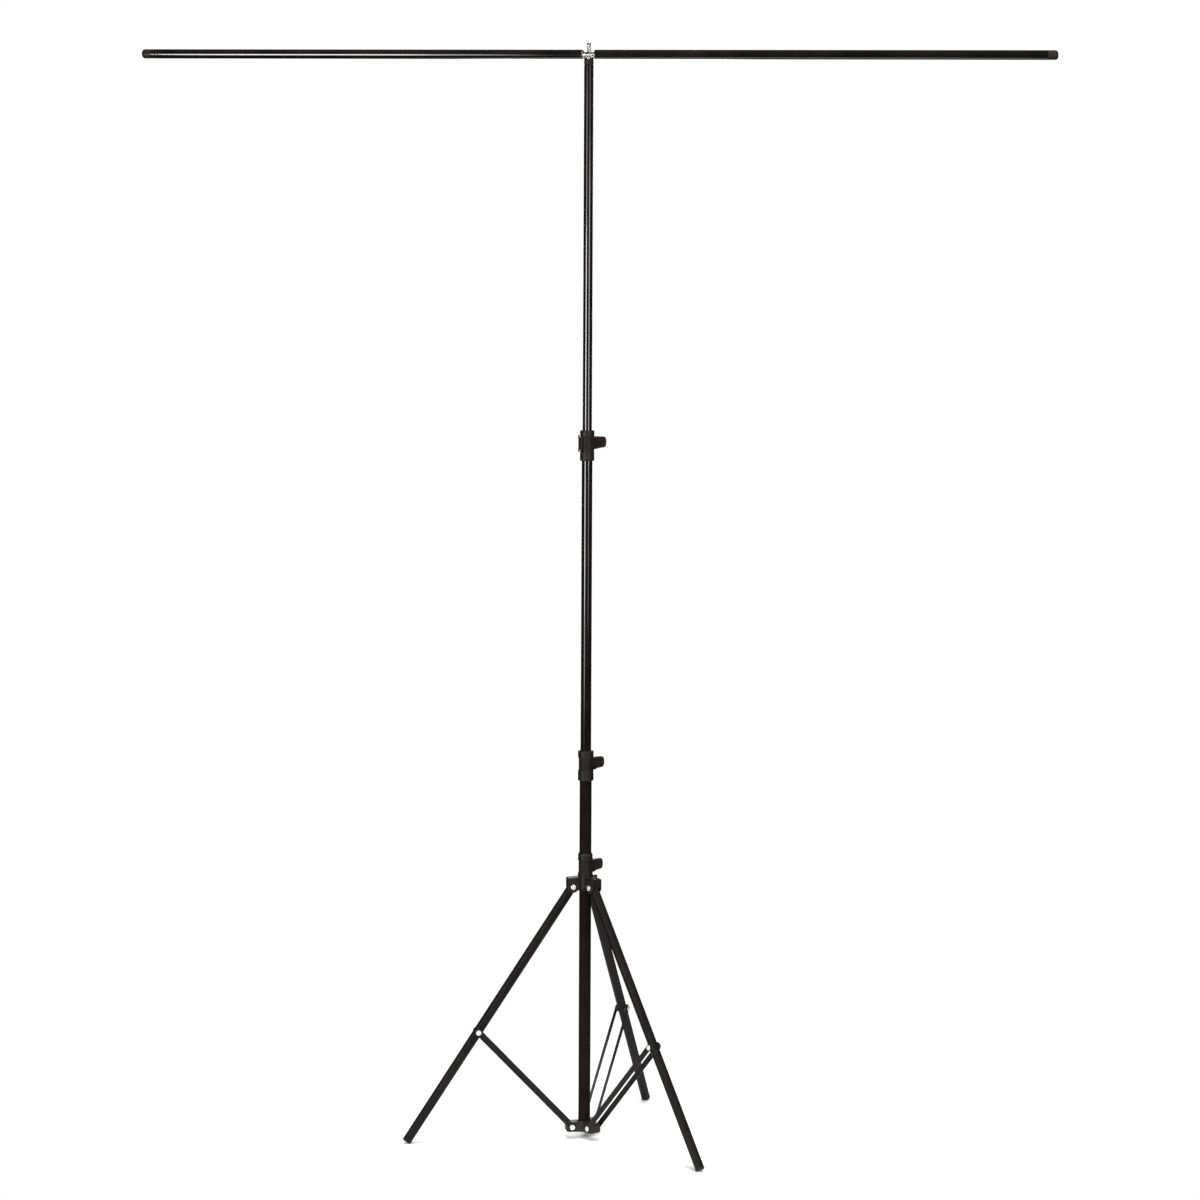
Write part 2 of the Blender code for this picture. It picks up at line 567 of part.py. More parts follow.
def half_rivet(seat, depth):
    """A headed stub along Z that fills one strut's hole, with its head beyond the strut."""
    head = rivet_head(seat + GAP, 1.0)
    return turned([(0.0, seat - depth), (RIVET_RADIUS, seat - depth), (RIVET_RADIUS, seat + GAP)] + head,
                  SMALL_ROUND)


# Legs and struts
def leg_mesh():
    """A round tube that hangs from its pivot along -Z, with its upper end cut to a round nose.

    At each point round the tube the nose ends where a cylinder about the pivot would cut it:
    height = sqrt(nose radius squared - x squared).
    """
    bm = bmesh.new()
    sides = MID_ROUND
    end = -(LEG_LENGTH - FOOT_FLANGE - GAP)
    rings = []
    for radius, heights in ((LEG_RADIUS, ("nose", end)), (LEG_RADIUS - WALL, (end, "nose"))):
        for kind in heights:
            ring = []
            for i in range(sides):
                angle = 2 * math.pi * i / sides
                x, y = radius * math.cos(angle), radius * math.sin(angle)
                z = math.sqrt(max(0.0, LEG_RADIUS ** 2 - x * x)) if kind == "nose" else kind
                ring.append(bm.verts.new((x, y, z)))
            rings.append(ring)
    for a, b in zip(rings, rings[1:] + rings[:1]):
        for i in range(sides):
            j = (i + 1) % sides
            bm.faces.new((a[i], a[j], b[j], b[i]))
    return bm


def foot_mesh():
    """End plug of a leg: a flange with a rounded rim, and a stem inside the tube."""
    stem = LEG_RADIUS - WALL - GAP
    end = -LEG_LENGTH
    top = end + FOOT_FLANGE
    return turned([(0.0, end), (FOOT_RADIUS - FOOT_ROUND, end), (FOOT_RADIUS, end + FOOT_ROUND),
                   (FOOT_RADIUS, top), (stem, top), (stem, top + FOOT_STEM), (0.0, top + FOOT_STEM)],
                  MID_ROUND)


def saddle(name, side, mat, parent):
    """Washer between leg and strut: flat outside, hollowed inside to sit on the round tube."""
    flat = LEG_RADIUS + GAP + SADDLE_THICKNESS
    skirt = math.sqrt(LEG_RADIUS ** 2 - SADDLE_RADIUS ** 2)
    body = pipe(SADDLE_RADIUS, RIVET_HOLE, skirt, flat, 14)
    place = Matrix.Translation((0.0, 0.0, -LEG_TO_STRUT)) @ Matrix.Rotation(math.radians(-90 * side), 4, "X")
    obj = add_object(name, body, mat, place, parent)
    tube = rod(LEG_RADIUS + GAP, -LEG_TO_STRUT - 0.03, -LEG_TO_STRUT + 0.03, MID_ROUND)
    combine(obj, [add_object(name + "_cutter", tube, parent=parent)], "DIFFERENCE")


def strut_outline():
    half = STRUT_WIDTH / 2
    return arc((0.0, 0.0), half, 0.0, 180.0, 7) + arc((0.0, -STRUT_LENGTH), half, 180.0, 360.0, 7)


def groove_outline():
    half = STRUT_GROOVE_WIDTH / 2
    start = -STRUT_GROOVE_START
    end = STRUT_GROOVE_START - STRUT_LENGTH
    return arc((0.0, start), half, 0.0, 180.0, 3) + arc((0.0, end), half, 180.0, 360.0, 3)


def strut_bar(name, side, place, mat, parent):
    """One flat bar of a strut, with the pressed stiffening groove of its outer face."""
    middle = side * (STRUT_INNER + STRUT_OUTER) / 2
    bar_place = place @ Matrix.Translation((0.0, middle, 0.0))
    bar = add_object(name, plate(strut_outline(), STRUT_THICKNESS / 2), mat, bar_place, parent)
    depth = STRUT_GROOVE_DEPTH
    outside = Matrix.Translation((0.0, side * (STRUT_THICKNESS / 2 + depth), 0.0))
    groove = add_object(name + "_groove", plate(groove_outline(), 2 * depth), place=bar_place @ outside,
                        parent=parent)
    holes = []
    for index, z in enumerate((0.0, -STRUT_LENGTH)):
        hole = rod(RIVET_HOLE, -0.004, 0.004)
        hole_place = bar_place @ along_y(0.0, z)
        holes.append(add_object(f"{name}_hole_{index}", hole, place=hole_place, parent=parent))
    combine(bar, [groove] + holes, "DIFFERENCE")


def leg_set(name, azimuth, mats, hub_slide):
    """A leg with its foot, rivets, washers and the two bars of its strut."""
    pivot = joint_empty(name + "_leg_joint", turn_z(azimuth) @ Matrix.Translation((PIVOT_RADIUS, 0.0,
                        LEG_PIVOT_HEIGHT)) @ Matrix.Rotation(-LEG_ANGLE, 4, Y_AXIS), hub_slide)
    leg = add_object(name + "_leg", leg_mesh(), mats["satin_black"], parent=pivot)
    holes = []
    for index, z in enumerate((0.0, -LEG_TO_STRUT)):
        hole = rod(RIVET_HOLE, -LEG_RADIUS - 0.004, LEG_RADIUS + 0.004)
        holes.append(add_object(f"{name}_leg_hole_{index}", hole, place=along_y(0.0, z), parent=pivot))
    combine(leg, holes, "DIFFERENCE")
    add_object(name + "_foot", foot_mesh(), mats["rubber"], parent=pivot)
    add_object(name + "_leg_rivet", through_rivet(STRUT_OUTER), mats["nickel"], along_y(0.0, -LEG_TO_STRUT),
               pivot)
    add_object(name + "_hub_rivet", through_rivet(EAR_HALF_WIDTH), mats["nickel"],
               turn_z(azimuth) @ along_y(PIVOT_RADIUS, LEG_PIVOT_HEIGHT), hub_slide)
    strut = joint_empty(name + "_strut_joint", Matrix.Translation((0.0, 0.0, -LEG_TO_STRUT))
                        @ Matrix.Rotation(LEG_ANGLE + STRUT_ANGLE, 4, Y_AXIS), pivot)
    for key, side in (("a", 1.0), ("b", -1.0)):
        saddle(f"{name}_washer_{key}", side, mats["nylon"], pivot)
        strut_bar(f"{name}_strut_{key}", side, Matrix.Identity(4), mats["satin_black"], strut)
        lean = Matrix.Rotation(math.radians(-90 * side), 4, "X")
        place = Matrix.Translation((0.0, 0.0, -STRUT_LENGTH)) @ lean
        add_object(f"{name}_strut_rivet_{key}", half_rivet(STRUT_OUTER, STRUT_THICKNESS), mats["nickel"],
                   place, strut)


# Head fitting and crossbar
def head_fitting(mats, parent):
    """The grooved plug in the top tube and the chrome stud that the crossbar drops over."""
    seat = CROSSBAR_HEIGHT - CONNECTOR_FLAT_HEIGHT / 2 - GAP
    stem = TOP_TUBE_RADIUS - WALL - GAP
    bottom = TOP_TUBE_TOP + GAP
    plug_profile = [(0.0, bottom - HEAD_PLUG_STEM), (stem, bottom - HEAD_PLUG_STEM), (stem, bottom),
                    (TOP_TUBE_RADIUS, bottom), (TOP_TUBE_RADIUS, seat), (0.0, seat)]
    plug = add_object("head_plug", turned(plug_profile), mats["plastic"], parent=parent)
    floor = seat - HEAD_GROOVE_DEPTH
    half_floor = STUD_SHOULDER_RADIUS
    rim = TOP_TUBE_RADIUS - HEAD_RIM
    outline = [(-half_floor, floor), (half_floor, floor), (rim, seat), (rim, seat + 0.001),
               (-rim, seat + 0.001), (-rim, seat)]
    groove = add_object("head_groove", plate(outline, 0.02), place=turn_z(CROSSBAR_AZIMUTH), parent=parent)
    hole = add_object("head_hole", rod(STUD_RADIUS + GAP, floor - STUD_IN_PLUG - GAP, seat + 0.01, 16),
                      parent=parent)
    combine(plug, [groove, hole], "DIFFERENCE")
    top = CROSSBAR_HEIGHT + CONNECTOR_FLAT_HEIGHT / 2 + STUD_HEAD_HEIGHT
    round_end = 0.0026
    waist = top - 0.0098
    profile = [(0.0, floor - STUD_IN_PLUG), (STUD_RADIUS, floor - STUD_IN_PLUG), (STUD_RADIUS, floor + GAP),
               (STUD_SHOULDER_RADIUS, floor + GAP), (STUD_SHOULDER_RADIUS, seat - 0.0008),
               (STUD_SHOULDER_RADIUS - 0.0008, seat), (STUD_RADIUS, seat), (STUD_RADIUS, waist - 0.0034),
               (STUD_WAIST_RADIUS, waist - 0.0016), (STUD_WAIST_RADIUS, waist + 0.0016),
               (STUD_RADIUS, waist + 0.0030), (STUD_RADIUS, top - round_end),
               (STUD_RADIUS * 0.86, top - round_end * 0.45), (STUD_RADIUS * 0.5, top - round_end * 0.1),
               (0.0, top)]
    add_object("head_stud", turned(profile, 16), mats["chrome"], parent=parent)


def connector_section(share, wall):
    """Half width, half height and squareness of the connector: share 0 is the flat middle, 1 is round."""
    radius = ARM_RADIUS - ARM_WALL - GAP
    flat_half_height = CONNECTOR_FLAT_HEIGHT / 2
    flat_half_width = flat_half_height + math.pi * (radius - flat_half_height) / 2
    ease = share * share * (3.0 - 2.0 * share)
    wide = flat_half_width + (radius - flat_half_width) * ease - wall
    high = flat_half_height + (radius - flat_half_height) * ease - wall
    return wide, high, 2.0 + 1.0 * (1.0 - ease)


def connector_mesh():
    """A tube along X, pressed flat in the middle: superellipse sections outside and inside."""
    around = MID_ROUND
    start = CONNECTOR_FLAT_HALF_LENGTH
    run = ARM_START - start
    half_places = [(start, 0.0), (start + run / 3, 1 / 3), (start + 2 * run / 3, 2 / 3), (ARM_START, 1.0),
                   (ARM_START + CONNECTOR_INSERTION, 1.0)]
    places = [(-x, share) for x, share in reversed(half_places)] + half_places
    bm = bmesh.new()
    shells = []
    for wall in (0.0, CONNECTOR_WALL):
        rings = []
        for x, share in places:
            wide, high, power = connector_section(share, wall)
            ring = []
            for i in range(around):
                angle = 2 * math.pi * i / around
                c, s = math.cos(angle), math.sin(angle)
                y = wide * math.copysign(abs(c) ** (2 / power), c)
                z = high * math.copysign(abs(s) ** (2 / power), s)
                ring.append(bm.verts.new((x, y, z)))
            rings.append(ring)
        shells.append(rings)
    loop = shells[0] + shells[1][::-1]
    for a, b in zip(loop, loop[1:] + loop[:1]):
        for i in range(around):
            j = (i + 1) % around
            bm.faces.new((a[i], a[j], b[j], b[i]))
    return bm


def crossbar(mats, top_slide):
    """Connector, two arms and their end caps, turned on the stud."""
    swivel = joint_empty("crossbar_swivel", Matrix.Translation((0.0, 0.0, CROSSBAR_HEIGHT))
                         @ turn_z(CROSSBAR_AZIMUTH), top_slide)
    link = add_object("crossbar_connector", connector_mesh(), mats["chrome"], parent=swivel)
    hole = add_object("connector_hole", rod(STUD_RADIUS + 0.0005, -0.02, 0.02, 16), parent=swivel)
    combine(link, [hole], "DIFFERENCE")
    arm_end = CROSSBAR_HALF_LENGTH - ARM_CAP_LENGTH - GAP
    for name, flip in (("right", 90), ("left", -90)):
        lie = Matrix.Rotation(math.radians(flip), 4, "Y")
        add_object(name + "_arm", pipe(ARM_RADIUS, ARM_RADIUS - ARM_WALL, ARM_START, arm_end),
                   mats["gloss_black"], lie, swivel)
        stem = ARM_RADIUS - ARM_WALL - GAP
        seat = arm_end + GAP
        tip = CROSSBAR_HALF_LENGTH
        cap = [(0.0, seat - ARM_CAP_STEM), (stem, seat - ARM_CAP_STEM), (stem, seat), (ARM_RADIUS, seat),
               (ARM_RADIUS, tip - 0.0045), (ARM_RADIUS * 0.87, tip - 0.0018), (ARM_RADIUS * 0.62, tip),
               (0.0, tip)]
        add_object(name + "_arm_cap", turned(cap, MID_ROUND), mats["plastic"], lie, swivel)


def build():
    clear_scene()
    mats = make_materials()
    mid_slide, top_slide = column_tubes(mats)
    hub_slide = joint_empty("hub_slide", Matrix.Identity(4))
    lower_hub(mats)
    upper_hub(mats, hub_slide)
    for name, azimuth in LEG_AZIMUTHS.items():
        leg_set(name, azimuth, mats, hub_slide)
    lock_collar("lower", BASE_TUBE_RADIUS, MID_TUBE_RADIUS, LOWER_COLLAR_BOTTOM, BASE_TUBE_TOP, mats, None)
    lock_collar("upper", MID_TUBE_RADIUS, TOP_TUBE_RADIUS, UPPER_COLLAR_BOTTOM, MID_TUBE_TOP, mats,
                mid_slide, ribbed=True)
    knob_set("hub", BASE_TUBE_RADIUS, mats, hub_slide)
    knob_set("lower", MID_TUBE_RADIUS, mats, None)
    knob_set("upper", TOP_TUBE_RADIUS, mats, mid_slide)
    head_fitting(mats, top_slide)
    crossbar(mats, top_slide)
    bpy.context.view_layer.update()


build()
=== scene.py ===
"""Looks of a T-shaped backdrop stand: smooth pieces, finishes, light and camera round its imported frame."""
import math

import bmesh
import bpy
import numpy as np
from mathutils import Matrix, Vector


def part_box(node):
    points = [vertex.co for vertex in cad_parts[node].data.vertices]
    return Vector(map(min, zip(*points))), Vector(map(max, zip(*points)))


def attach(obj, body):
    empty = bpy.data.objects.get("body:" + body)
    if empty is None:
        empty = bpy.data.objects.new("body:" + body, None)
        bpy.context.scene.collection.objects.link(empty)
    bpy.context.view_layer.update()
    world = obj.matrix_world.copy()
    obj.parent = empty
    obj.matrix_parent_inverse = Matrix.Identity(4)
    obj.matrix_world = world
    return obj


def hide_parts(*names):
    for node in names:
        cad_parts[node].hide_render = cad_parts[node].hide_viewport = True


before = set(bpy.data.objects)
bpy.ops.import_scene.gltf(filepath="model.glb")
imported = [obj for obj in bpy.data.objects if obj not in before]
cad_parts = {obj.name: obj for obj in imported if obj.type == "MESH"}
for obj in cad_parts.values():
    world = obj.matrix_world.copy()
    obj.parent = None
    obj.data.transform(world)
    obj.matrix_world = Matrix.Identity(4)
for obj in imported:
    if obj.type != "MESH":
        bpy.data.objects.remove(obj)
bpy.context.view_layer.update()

# Sizes in metres, as the frame's solids have them
GAP = 0.0003
RUNNING_GAP = 0.0007
WALL = 0.0012
BASE_R, MID_R, TOP_R = 0.0130, 0.0115, 0.0100
BASE_TOP, MID_TOP, TOP_TOP = 0.8156, 1.5114, 2.3295
OVERLAP = 0.1300
LEG_AZIMUTHS = {"left": 180.0, "rear": 60.0, "front": 300.0}
PIVOT_R = 0.0280
LEG_PIVOT_Z, STRUT_PIVOT_Z = 0.5585, 0.0270
LEG_TO_STRUT, STRUT_LENGTH = 0.3772, 0.2991
LEG_R = 0.0100
STRUT_WIDTH, STRUT_THICKNESS = 0.0130, 0.0016
GROOVE_WIDTH, GROOVE_DEPTH, GROOVE_START = 0.0036, 0.0006, 0.0330
SADDLE_THICKNESS, SADDLE_R = 0.0021, 0.0088
FOOT_R, FOOT_FLANGE, FOOT_ROUND, FOOT_STEM = 0.0103, 0.0036, 0.0015, 0.0220
RIVET_R, RIVET_HEAD_R, RIVET_HEAD_H, RIVET_PLAY = 0.0025, 0.0056, 0.0019, 0.0001
HUB_WALL, HUB_BOTTOM, HUB_TOP = 0.0028, 0.5500, 0.6320
EAR_REACH, EAR_TOP, EAR_DROP, EAR_CHEEK = 0.0405, 0.5805, 0.0030, 0.0027
LUG_REACH, LUG_BOTTOM, LUG_TOP, LUG_ROUND = 0.0411, 0.0164, 0.0385, 0.0050
LOWER_HUB_TOP, LOWER_HUB_FLOOR, DRAIN_R = 0.0400, 0.0035, 0.0050
COLLARS = {"lower": (0.7906, 0.8561), "upper": (1.4849, 1.5504)}
COLLAR_WALL = 0.0036
KNOB_HEIGHTS = {"hub": 0.6021, "lower": 0.8266, "upper": 1.5231}
KNOB_AZIMUTHS = {"hub": 39.5, "lower": 36.5, "upper": 34.5}
BLOCK_HEIGHT, BLOCK_WIDTH, BLOCK_REACH = 0.0260, 0.0230, 0.0215
FLAT_DEPTH, FLAT_MARGIN = 0.0017, 0.0005
RIB_REACH, RIB_WIDTH = 0.0214, 0.0114
BEAD_R, BEAD_HEIGHT, BEAD_INSET = 0.0018, 0.0360, 0.0012
SCREW_R, SCREW_IN_KNOB, PAD_THICKNESS = 0.0040, 0.0120, 0.0020
INSERT_WALL, INSERT_SEAT = 0.0018, 0.0053
KNOB_LENGTH = 0.0330
KNOB_HALF_HEIGHTS, KNOB_HALF_WIDTHS = (0.0138, 0.0114), (0.0080, 0.0052)
BAR_Z, BAR_HALF, BAR_AZIMUTH = 2.3510, 1.0000, -22.5
ARM_R, ARM_WALL, ARM_START = 0.0100, 0.0020, 0.0134
LINK_WALL, LINK_INSERTION, LINK_FLAT_HEIGHT, LINK_FLAT_HALF = 0.0012, 0.0600, 0.0095, 0.0102
CAP_LENGTH, CAP_STEM = 0.0200, 0.0180
PLUG_STEM, PLUG_GROOVE, PLUG_RIM = 0.0280, 0.0045, 0.0012
STUD_R, STUD_WAIST_R, STUD_HEAD, STUD_SHOULDER_R, STUD_IN_PLUG = 0.0042, 0.0035, 0.0200, 0.0055, 0.0180

# What follows from them
SPAN = LEG_PIVOT_Z - STRUT_PIVOT_Z
LEG_ANGLE = math.acos((SPAN ** 2 + LEG_TO_STRUT ** 2 - STRUT_LENGTH ** 2) / (2 * SPAN * LEG_TO_STRUT))
STRUT_ANGLE = math.asin(LEG_TO_STRUT * math.sin(LEG_ANGLE) / STRUT_LENGTH)
FOOT_TOUCH = max((FOOT_R - FOOT_ROUND) * math.sin(LEG_ANGLE),
                 FOOT_R * math.sin(LEG_ANGLE) - FOOT_ROUND * math.cos(LEG_ANGLE))
LEG_LENGTH = (LEG_PIVOT_Z - FOOT_TOUCH) / math.cos(LEG_ANGLE)
LEG_HALF_GAP = LEG_R + GAP
STRUT_INNER = LEG_R + GAP + SADDLE_THICKNESS + GAP
STRUT_OUTER = STRUT_INNER + STRUT_THICKNESS
STRUT_MIDDLE = (STRUT_INNER + STRUT_OUTER) / 2
LUG_HALF = STRUT_INNER - GAP
EAR_HALF = LEG_HALF_GAP + EAR_CHEEK
EAR_ROUND = EAR_REACH - PIVOT_R
RIVET_HOLE = RIVET_R + GAP + RIVET_PLAY
HUB_R = BASE_R + GAP + HUB_WALL
PLUG_TOP = BAR_Z - LINK_FLAT_HEIGHT / 2 - GAP
PLUG_FLOOR = PLUG_TOP - PLUG_GROOVE
BAR_DIRECTION = (math.cos(math.radians(BAR_AZIMUTH)), math.sin(math.radians(BAR_AZIMUTH)), 0.0)

# Edges, fillets and small forms
TUBE_RIM, SOFT_RIM, NEAR_RIM = 0.00035, 0.0003, 0.0020
BAR_EDGE, GROOVE_SLOPE, GROOVE_RELIEF = 0.00025, 0.0009, 1.25
HUB_RIM, HUB_FILLET, EAR_EDGE, EAR_ROOF_EDGE, SLOT_EDGE = 0.0008, 0.0018, 0.0014, 0.0022, 0.0007
LOWER_HUB_RIM, BORE_EDGE = 0.0014, 0.0006
NECK_HEIGHT, NECK_ACROSS, NECK_UP, NECK_EDGE = 0.0050, 0.915, 0.403, 0.0010
EAR_ROOT, EAR_LIFT = 0.0010, 0.0004
HUB_RING_DROP, HUB_RING_WIRE, HUB_RING_DEPTH, HUB_RING_EDGE = 0.0088, 0.0012, 0.0009, 0.0004
FLAT_EDGE, BLOCK_EDGE, BLOCK_FILLET = 0.0006, 0.0013, 0.0016
COLLAR_RIM, COLLAR_BORE_EDGE = 0.0022, 0.0005
COLLAR_RINGS_BELOW, COLLAR_RING_ABOVE = (0.0062, 0.0025), 0.0030
COLLAR_RING_WIRE, COLLAR_RING_DEPTH, COLLAR_RING_EDGE = 0.0013, 0.0006, 0.0003
RIB_EDGE, RIB_FILLET = 0.0011, 0.0014
BEAD_END, BEAD_TAPER, BEAD_THINNING, BEAD_EDGE, BEAD_FILLET = 0.0072, 0.0008, 0.0011, 0.0007, 0.0006
PLUG_RIM_EDGE, PLUG_GROOVE_EDGE, PLUG_LAP = 0.0008, 0.0005, 0.0020
THREAD_PITCH, THREAD_DEPTH = 0.00125, 0.0006
TREAD_RINGS = ((0.0022, 0.0037), (0.0055, 0.0070))
TREAD_DEPTH, TREAD_SLOPE, TREAD_EDGE = 0.0005, 0.0003, 0.0002
RIVET_EDGE, RIVET_BEVEL, DIMPLE_R, DIMPLE_DEPTH = 0.0005, 0.0002, 0.0014, 0.0011
STUD_BEVEL, WAIST_DROP, WAIST_HALF, FLARE_BELOW, FLARE_ABOVE = 0.0008, 0.0098, 0.0016, 0.0018, 0.0014
LINK_FLARE, LIP_LENGTH = 1.4, 0.0004
PUNCH_MARKS, PUNCH_R, PUNCH_DEPTH = (0.0086, 0.0155), 0.0009, 0.00035
PUNCHED_FROM, PUNCHED_TO, PUNCHED_SIDE = 0.0190, 0.0050, 1.5 * math.pi
BARE_LENGTH, BARE_FADE = 0.0002, 0.0003
CAP_SHOULDER, CAP_SLOPE, CAP_SLOPE_SHARE, CAP_FACE_SHARE = 0.0050, 0.0019, 0.86, 0.60
DISH_DEPTH, DISH_R, DISH_FLOOR_R = 0.0006, 0.0035, 0.0022
DRILL_PAST_LEG, DRILL_IN_BAR, LINK_HOLE_PLAY = 0.0040, 0.0030, 0.0005

# How finely the curved pieces are made
TUBE_SIDES = 96
SMALL_SIDES = 48
KNOB_SIDES = 112
SCREW_SIDES = 40
HUB_CELL = 0.00065
COLLAR_CELL = 0.00055
PLUG_CELL = 0.00032
MERGE_DISTANCE, LEAST_EDGE = 2e-6, 1e-7
ARC_LIMIT = 0.48
NET_MARGIN, NET_PROBE, NET_LIMIT, LEAST_SLOPE = 2.5, 0.05, 0.4, 0.25


# Surfaces from arrays
def grid_faces(rows, columns, wrap_rows=False):
    """Quads of a grid whose rows are rings: cell (i, j) spans rows i, i + 1 and columns j, j + 1."""
    i = np.arange(rows if wrap_rows else rows - 1)[:, None]
    j = np.arange(columns)[None, :]
    below, right = (i + 1) % rows, (j + 1) % columns
    corners = [i * columns + j, i * columns + right, below * columns + right, below * columns + j]
    return np.stack(np.broadcast_arrays(*corners), -1).reshape(-1, 4)


def skin(grid, wrap_rows=False):
    """The points and faces of a grid of points."""
    return grid.reshape(-1, 3), grid_faces(*grid.shape[:2], wrap_rows)


def ring_angles(sides):
    """Even angles round an axis, from 0 to 2 pi, as one row."""
    return (np.arange(sides) * 2 * math.pi / sides)[None, :]


def rings(radius, height, angle):
    """Points (r cos a, r sin a, z) for columns of r and z and a row of angles a."""
    return np.stack([radius * np.cos(angle), radius * np.sin(angle), height + 0 * angle], -1)


def with_poles(grid, keep):
    """The grid with its first and last rings drawn to points: their coordinates times keep, of 1s and 0s."""
    return np.concatenate([grid[:1] * keep, grid, grid[-1:] * keep])


def rounded(corners, radius, steps=4, closed=False):
    """A polyline with each corner turned into an arc.

    Each arc is the conic ((1-t)^2 A + 2wt(1-t) C + t^2 B) / ((1-t)^2 + 2wt(1-t) + t^2), where C is the
    corner, A and B lie radius * tan(turn / 2) from it on its two sides, and w = cos(turn / 2). An arc takes
    at most the limit's share of each side.
    """
    corner = np.asarray(corners, float)
    back = np.roll(corner, 1, 0) - corner
    ahead = np.roll(corner, -1, 0) - corner
    back_length = np.maximum(np.linalg.norm(back, axis=1), LEAST_EDGE)
    ahead_length = np.maximum(np.linalg.norm(ahead, axis=1), LEAST_EDGE)
    cosine = np.clip((back * ahead).sum(1) / back_length / ahead_length, -1, 1)
    turn = math.pi - np.arccos(cosine)
    reach = np.minimum(np.broadcast_to(radius, len(corner)) * np.tan(turn / 2),
                       ARC_LIMIT * np.minimum(back_length, ahead_length))
    if not closed:
        reach[0] = reach[-1] = 0.0
    first = (corner + back / back_length[:, None] * reach[:, None])[:, None]
    last = (corner + ahead / ahead_length[:, None] * reach[:, None])[:, None]
    weight = np.cos(turn / 2)[:, None, None]
    t = np.linspace(0, 1, steps + 1)[None, :, None]
    share = (1 - t) ** 2 + 2 * weight * t * (1 - t) + t ** 2
    arcs = ((1 - t) ** 2 * first + 2 * weight * t * (1 - t) * corner[:, None] + t ** 2 * last) / share
    if not closed:
        arcs[0], arcs[-1] = corner[0], corner[-1]
    return arcs.reshape(-1, corner.shape[1])


def turned(profile, sides=TUBE_SIDES, closed=False):
    """A profile of (r, z) rows carried round Z."""
    profile = np.asarray(profile, float)
    return skin(rings(profile[:, :1], profile[:, 1:], ring_angles(sides)), closed)


def eased(share):
    """A smooth step from 0 to 1: s^2 (3 - 2s)."""
    share = np.clip(share, 0, 1)
    return share * share * (3 - 2 * share)


def stepped(value, place, length):
    """A smooth step up that starts at a place and takes a length, or down where the length is negative."""
    return eased((value - place) / length)


def placed(points, matrix):
    """Every point carried by a 4 x 4 matrix: R p + t."""
    carry = np.array(matrix)
    return points @ carry[:3, :3].T + carry[:3, 3]


# Places, as matrices
def moved(x, y, z):
    """A shift."""
    return Matrix.Translation((x, y, z))


def turned_about(axis, degrees):
    """A turn about a named axis through the origin."""
    return Matrix.Rotation(math.radians(degrees), 4, axis)


def along_y(x, z):
    """Turns a piece made along Z to lie along Y, through the point (x, 0, z)."""
    return moved(x, 0, z) @ turned_about("X", -90)


# Meshes and pieces
def make_mesh(name, points, faces):
    """A mesh of points and quads; points that fall together are merged, so seams and poles are closed."""
    mesh = bpy.data.meshes.new(name)
    mesh.vertices.add(len(points))
    mesh.vertices.foreach_set("co", np.ascontiguousarray(points, np.float32).ravel())
    mesh.loops.add(faces.size)
    mesh.loops.foreach_set("vertex_index", np.ascontiguousarray(faces, np.int32).ravel())
    mesh.polygons.add(len(faces))
    mesh.polygons.foreach_set("loop_start", np.arange(0, faces.size, 4, dtype=np.int32))
    mesh.update(calc_edges=True)
    bm = bmesh.new()
    bm.from_mesh(mesh)
    bmesh.ops.remove_doubles(bm, verts=bm.verts, dist=MERGE_DISTANCE)
    bmesh.ops.dissolve_degenerate(bm, edges=bm.edges, dist=LEAST_EDGE)
    bmesh.ops.recalc_face_normals(bm, faces=bm.faces)
    bm.to_mesh(mesh)
    bm.free()
    return mesh


def new_object(name, data):
    """An object at the origin, linked into the scene."""
    obj = bpy.data.objects.new(name, data)
    bpy.context.scene.collection.objects.link(obj)
    return obj


def shade(mesh, sharp):
    """Smooth shading, but for edges sharper than the angle."""
    mesh.shade_smooth()
    mesh.set_sharp_from_angle(angle=math.radians(sharp))


def add_piece(name, surface, material, body, node, slot, place=Matrix.Identity(4), sharp=40.0):
    """Makes a piece from its points and faces, carried to its place, instead of its CAD node."""
    points, faces = surface
    mesh = make_mesh(name, placed(points, place), faces)
    mesh.materials.append(material)
    shade(mesh, sharp)
    obj = new_object(name, mesh)
    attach(obj, body)
    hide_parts(node)
    return obj


def cut_holes(obj, holes):
    """Cuts round holes, each given by its axis as a matrix, its radius and its half length."""
    tools = []
    for index, (place, radius, half) in enumerate(holes):
        points, faces = turned([(0, -half), (radius, -half), (radius, half), (0, half)], SMALL_SIDES)
        tool = new_object(f"{obj.name}_drill_{index}", make_mesh("drill", placed(points, place), faces))
        cut = obj.modifiers.new(tool.name, "BOOLEAN")
        cut.operation, cut.solver, cut.object = "DIFFERENCE", "EXACT", tool
        tools.append(tool)
    bpy.context.view_layer.update()
    solid = bpy.data.meshes.new_from_object(obj.evaluated_get(bpy.context.evaluated_depsgraph_get()))
    obj.modifiers.clear()
    solid.name = obj.data.name
    obj.data = solid
    shade(solid, 40.0)
    for tool in tools:
        bpy.data.objects.remove(tool, do_unlink=True)


# Moulded shapes, as signed distances
def blend_min(a, b, soft):
    """Union of two shapes with a fillet: the nearer distance, less soft * h (1 - h) where they are near."""
    h = np.clip(0.5 + 0.5 * (b - a) / soft, 0, 1)
    return b * (1 - h) + a * h - soft * h * (1 - h)


def blend_max(a, b, soft):
    """Common part of two shapes with a rounded edge: the union's formula with its signs turned."""
    return -blend_min(-a, -b, soft)


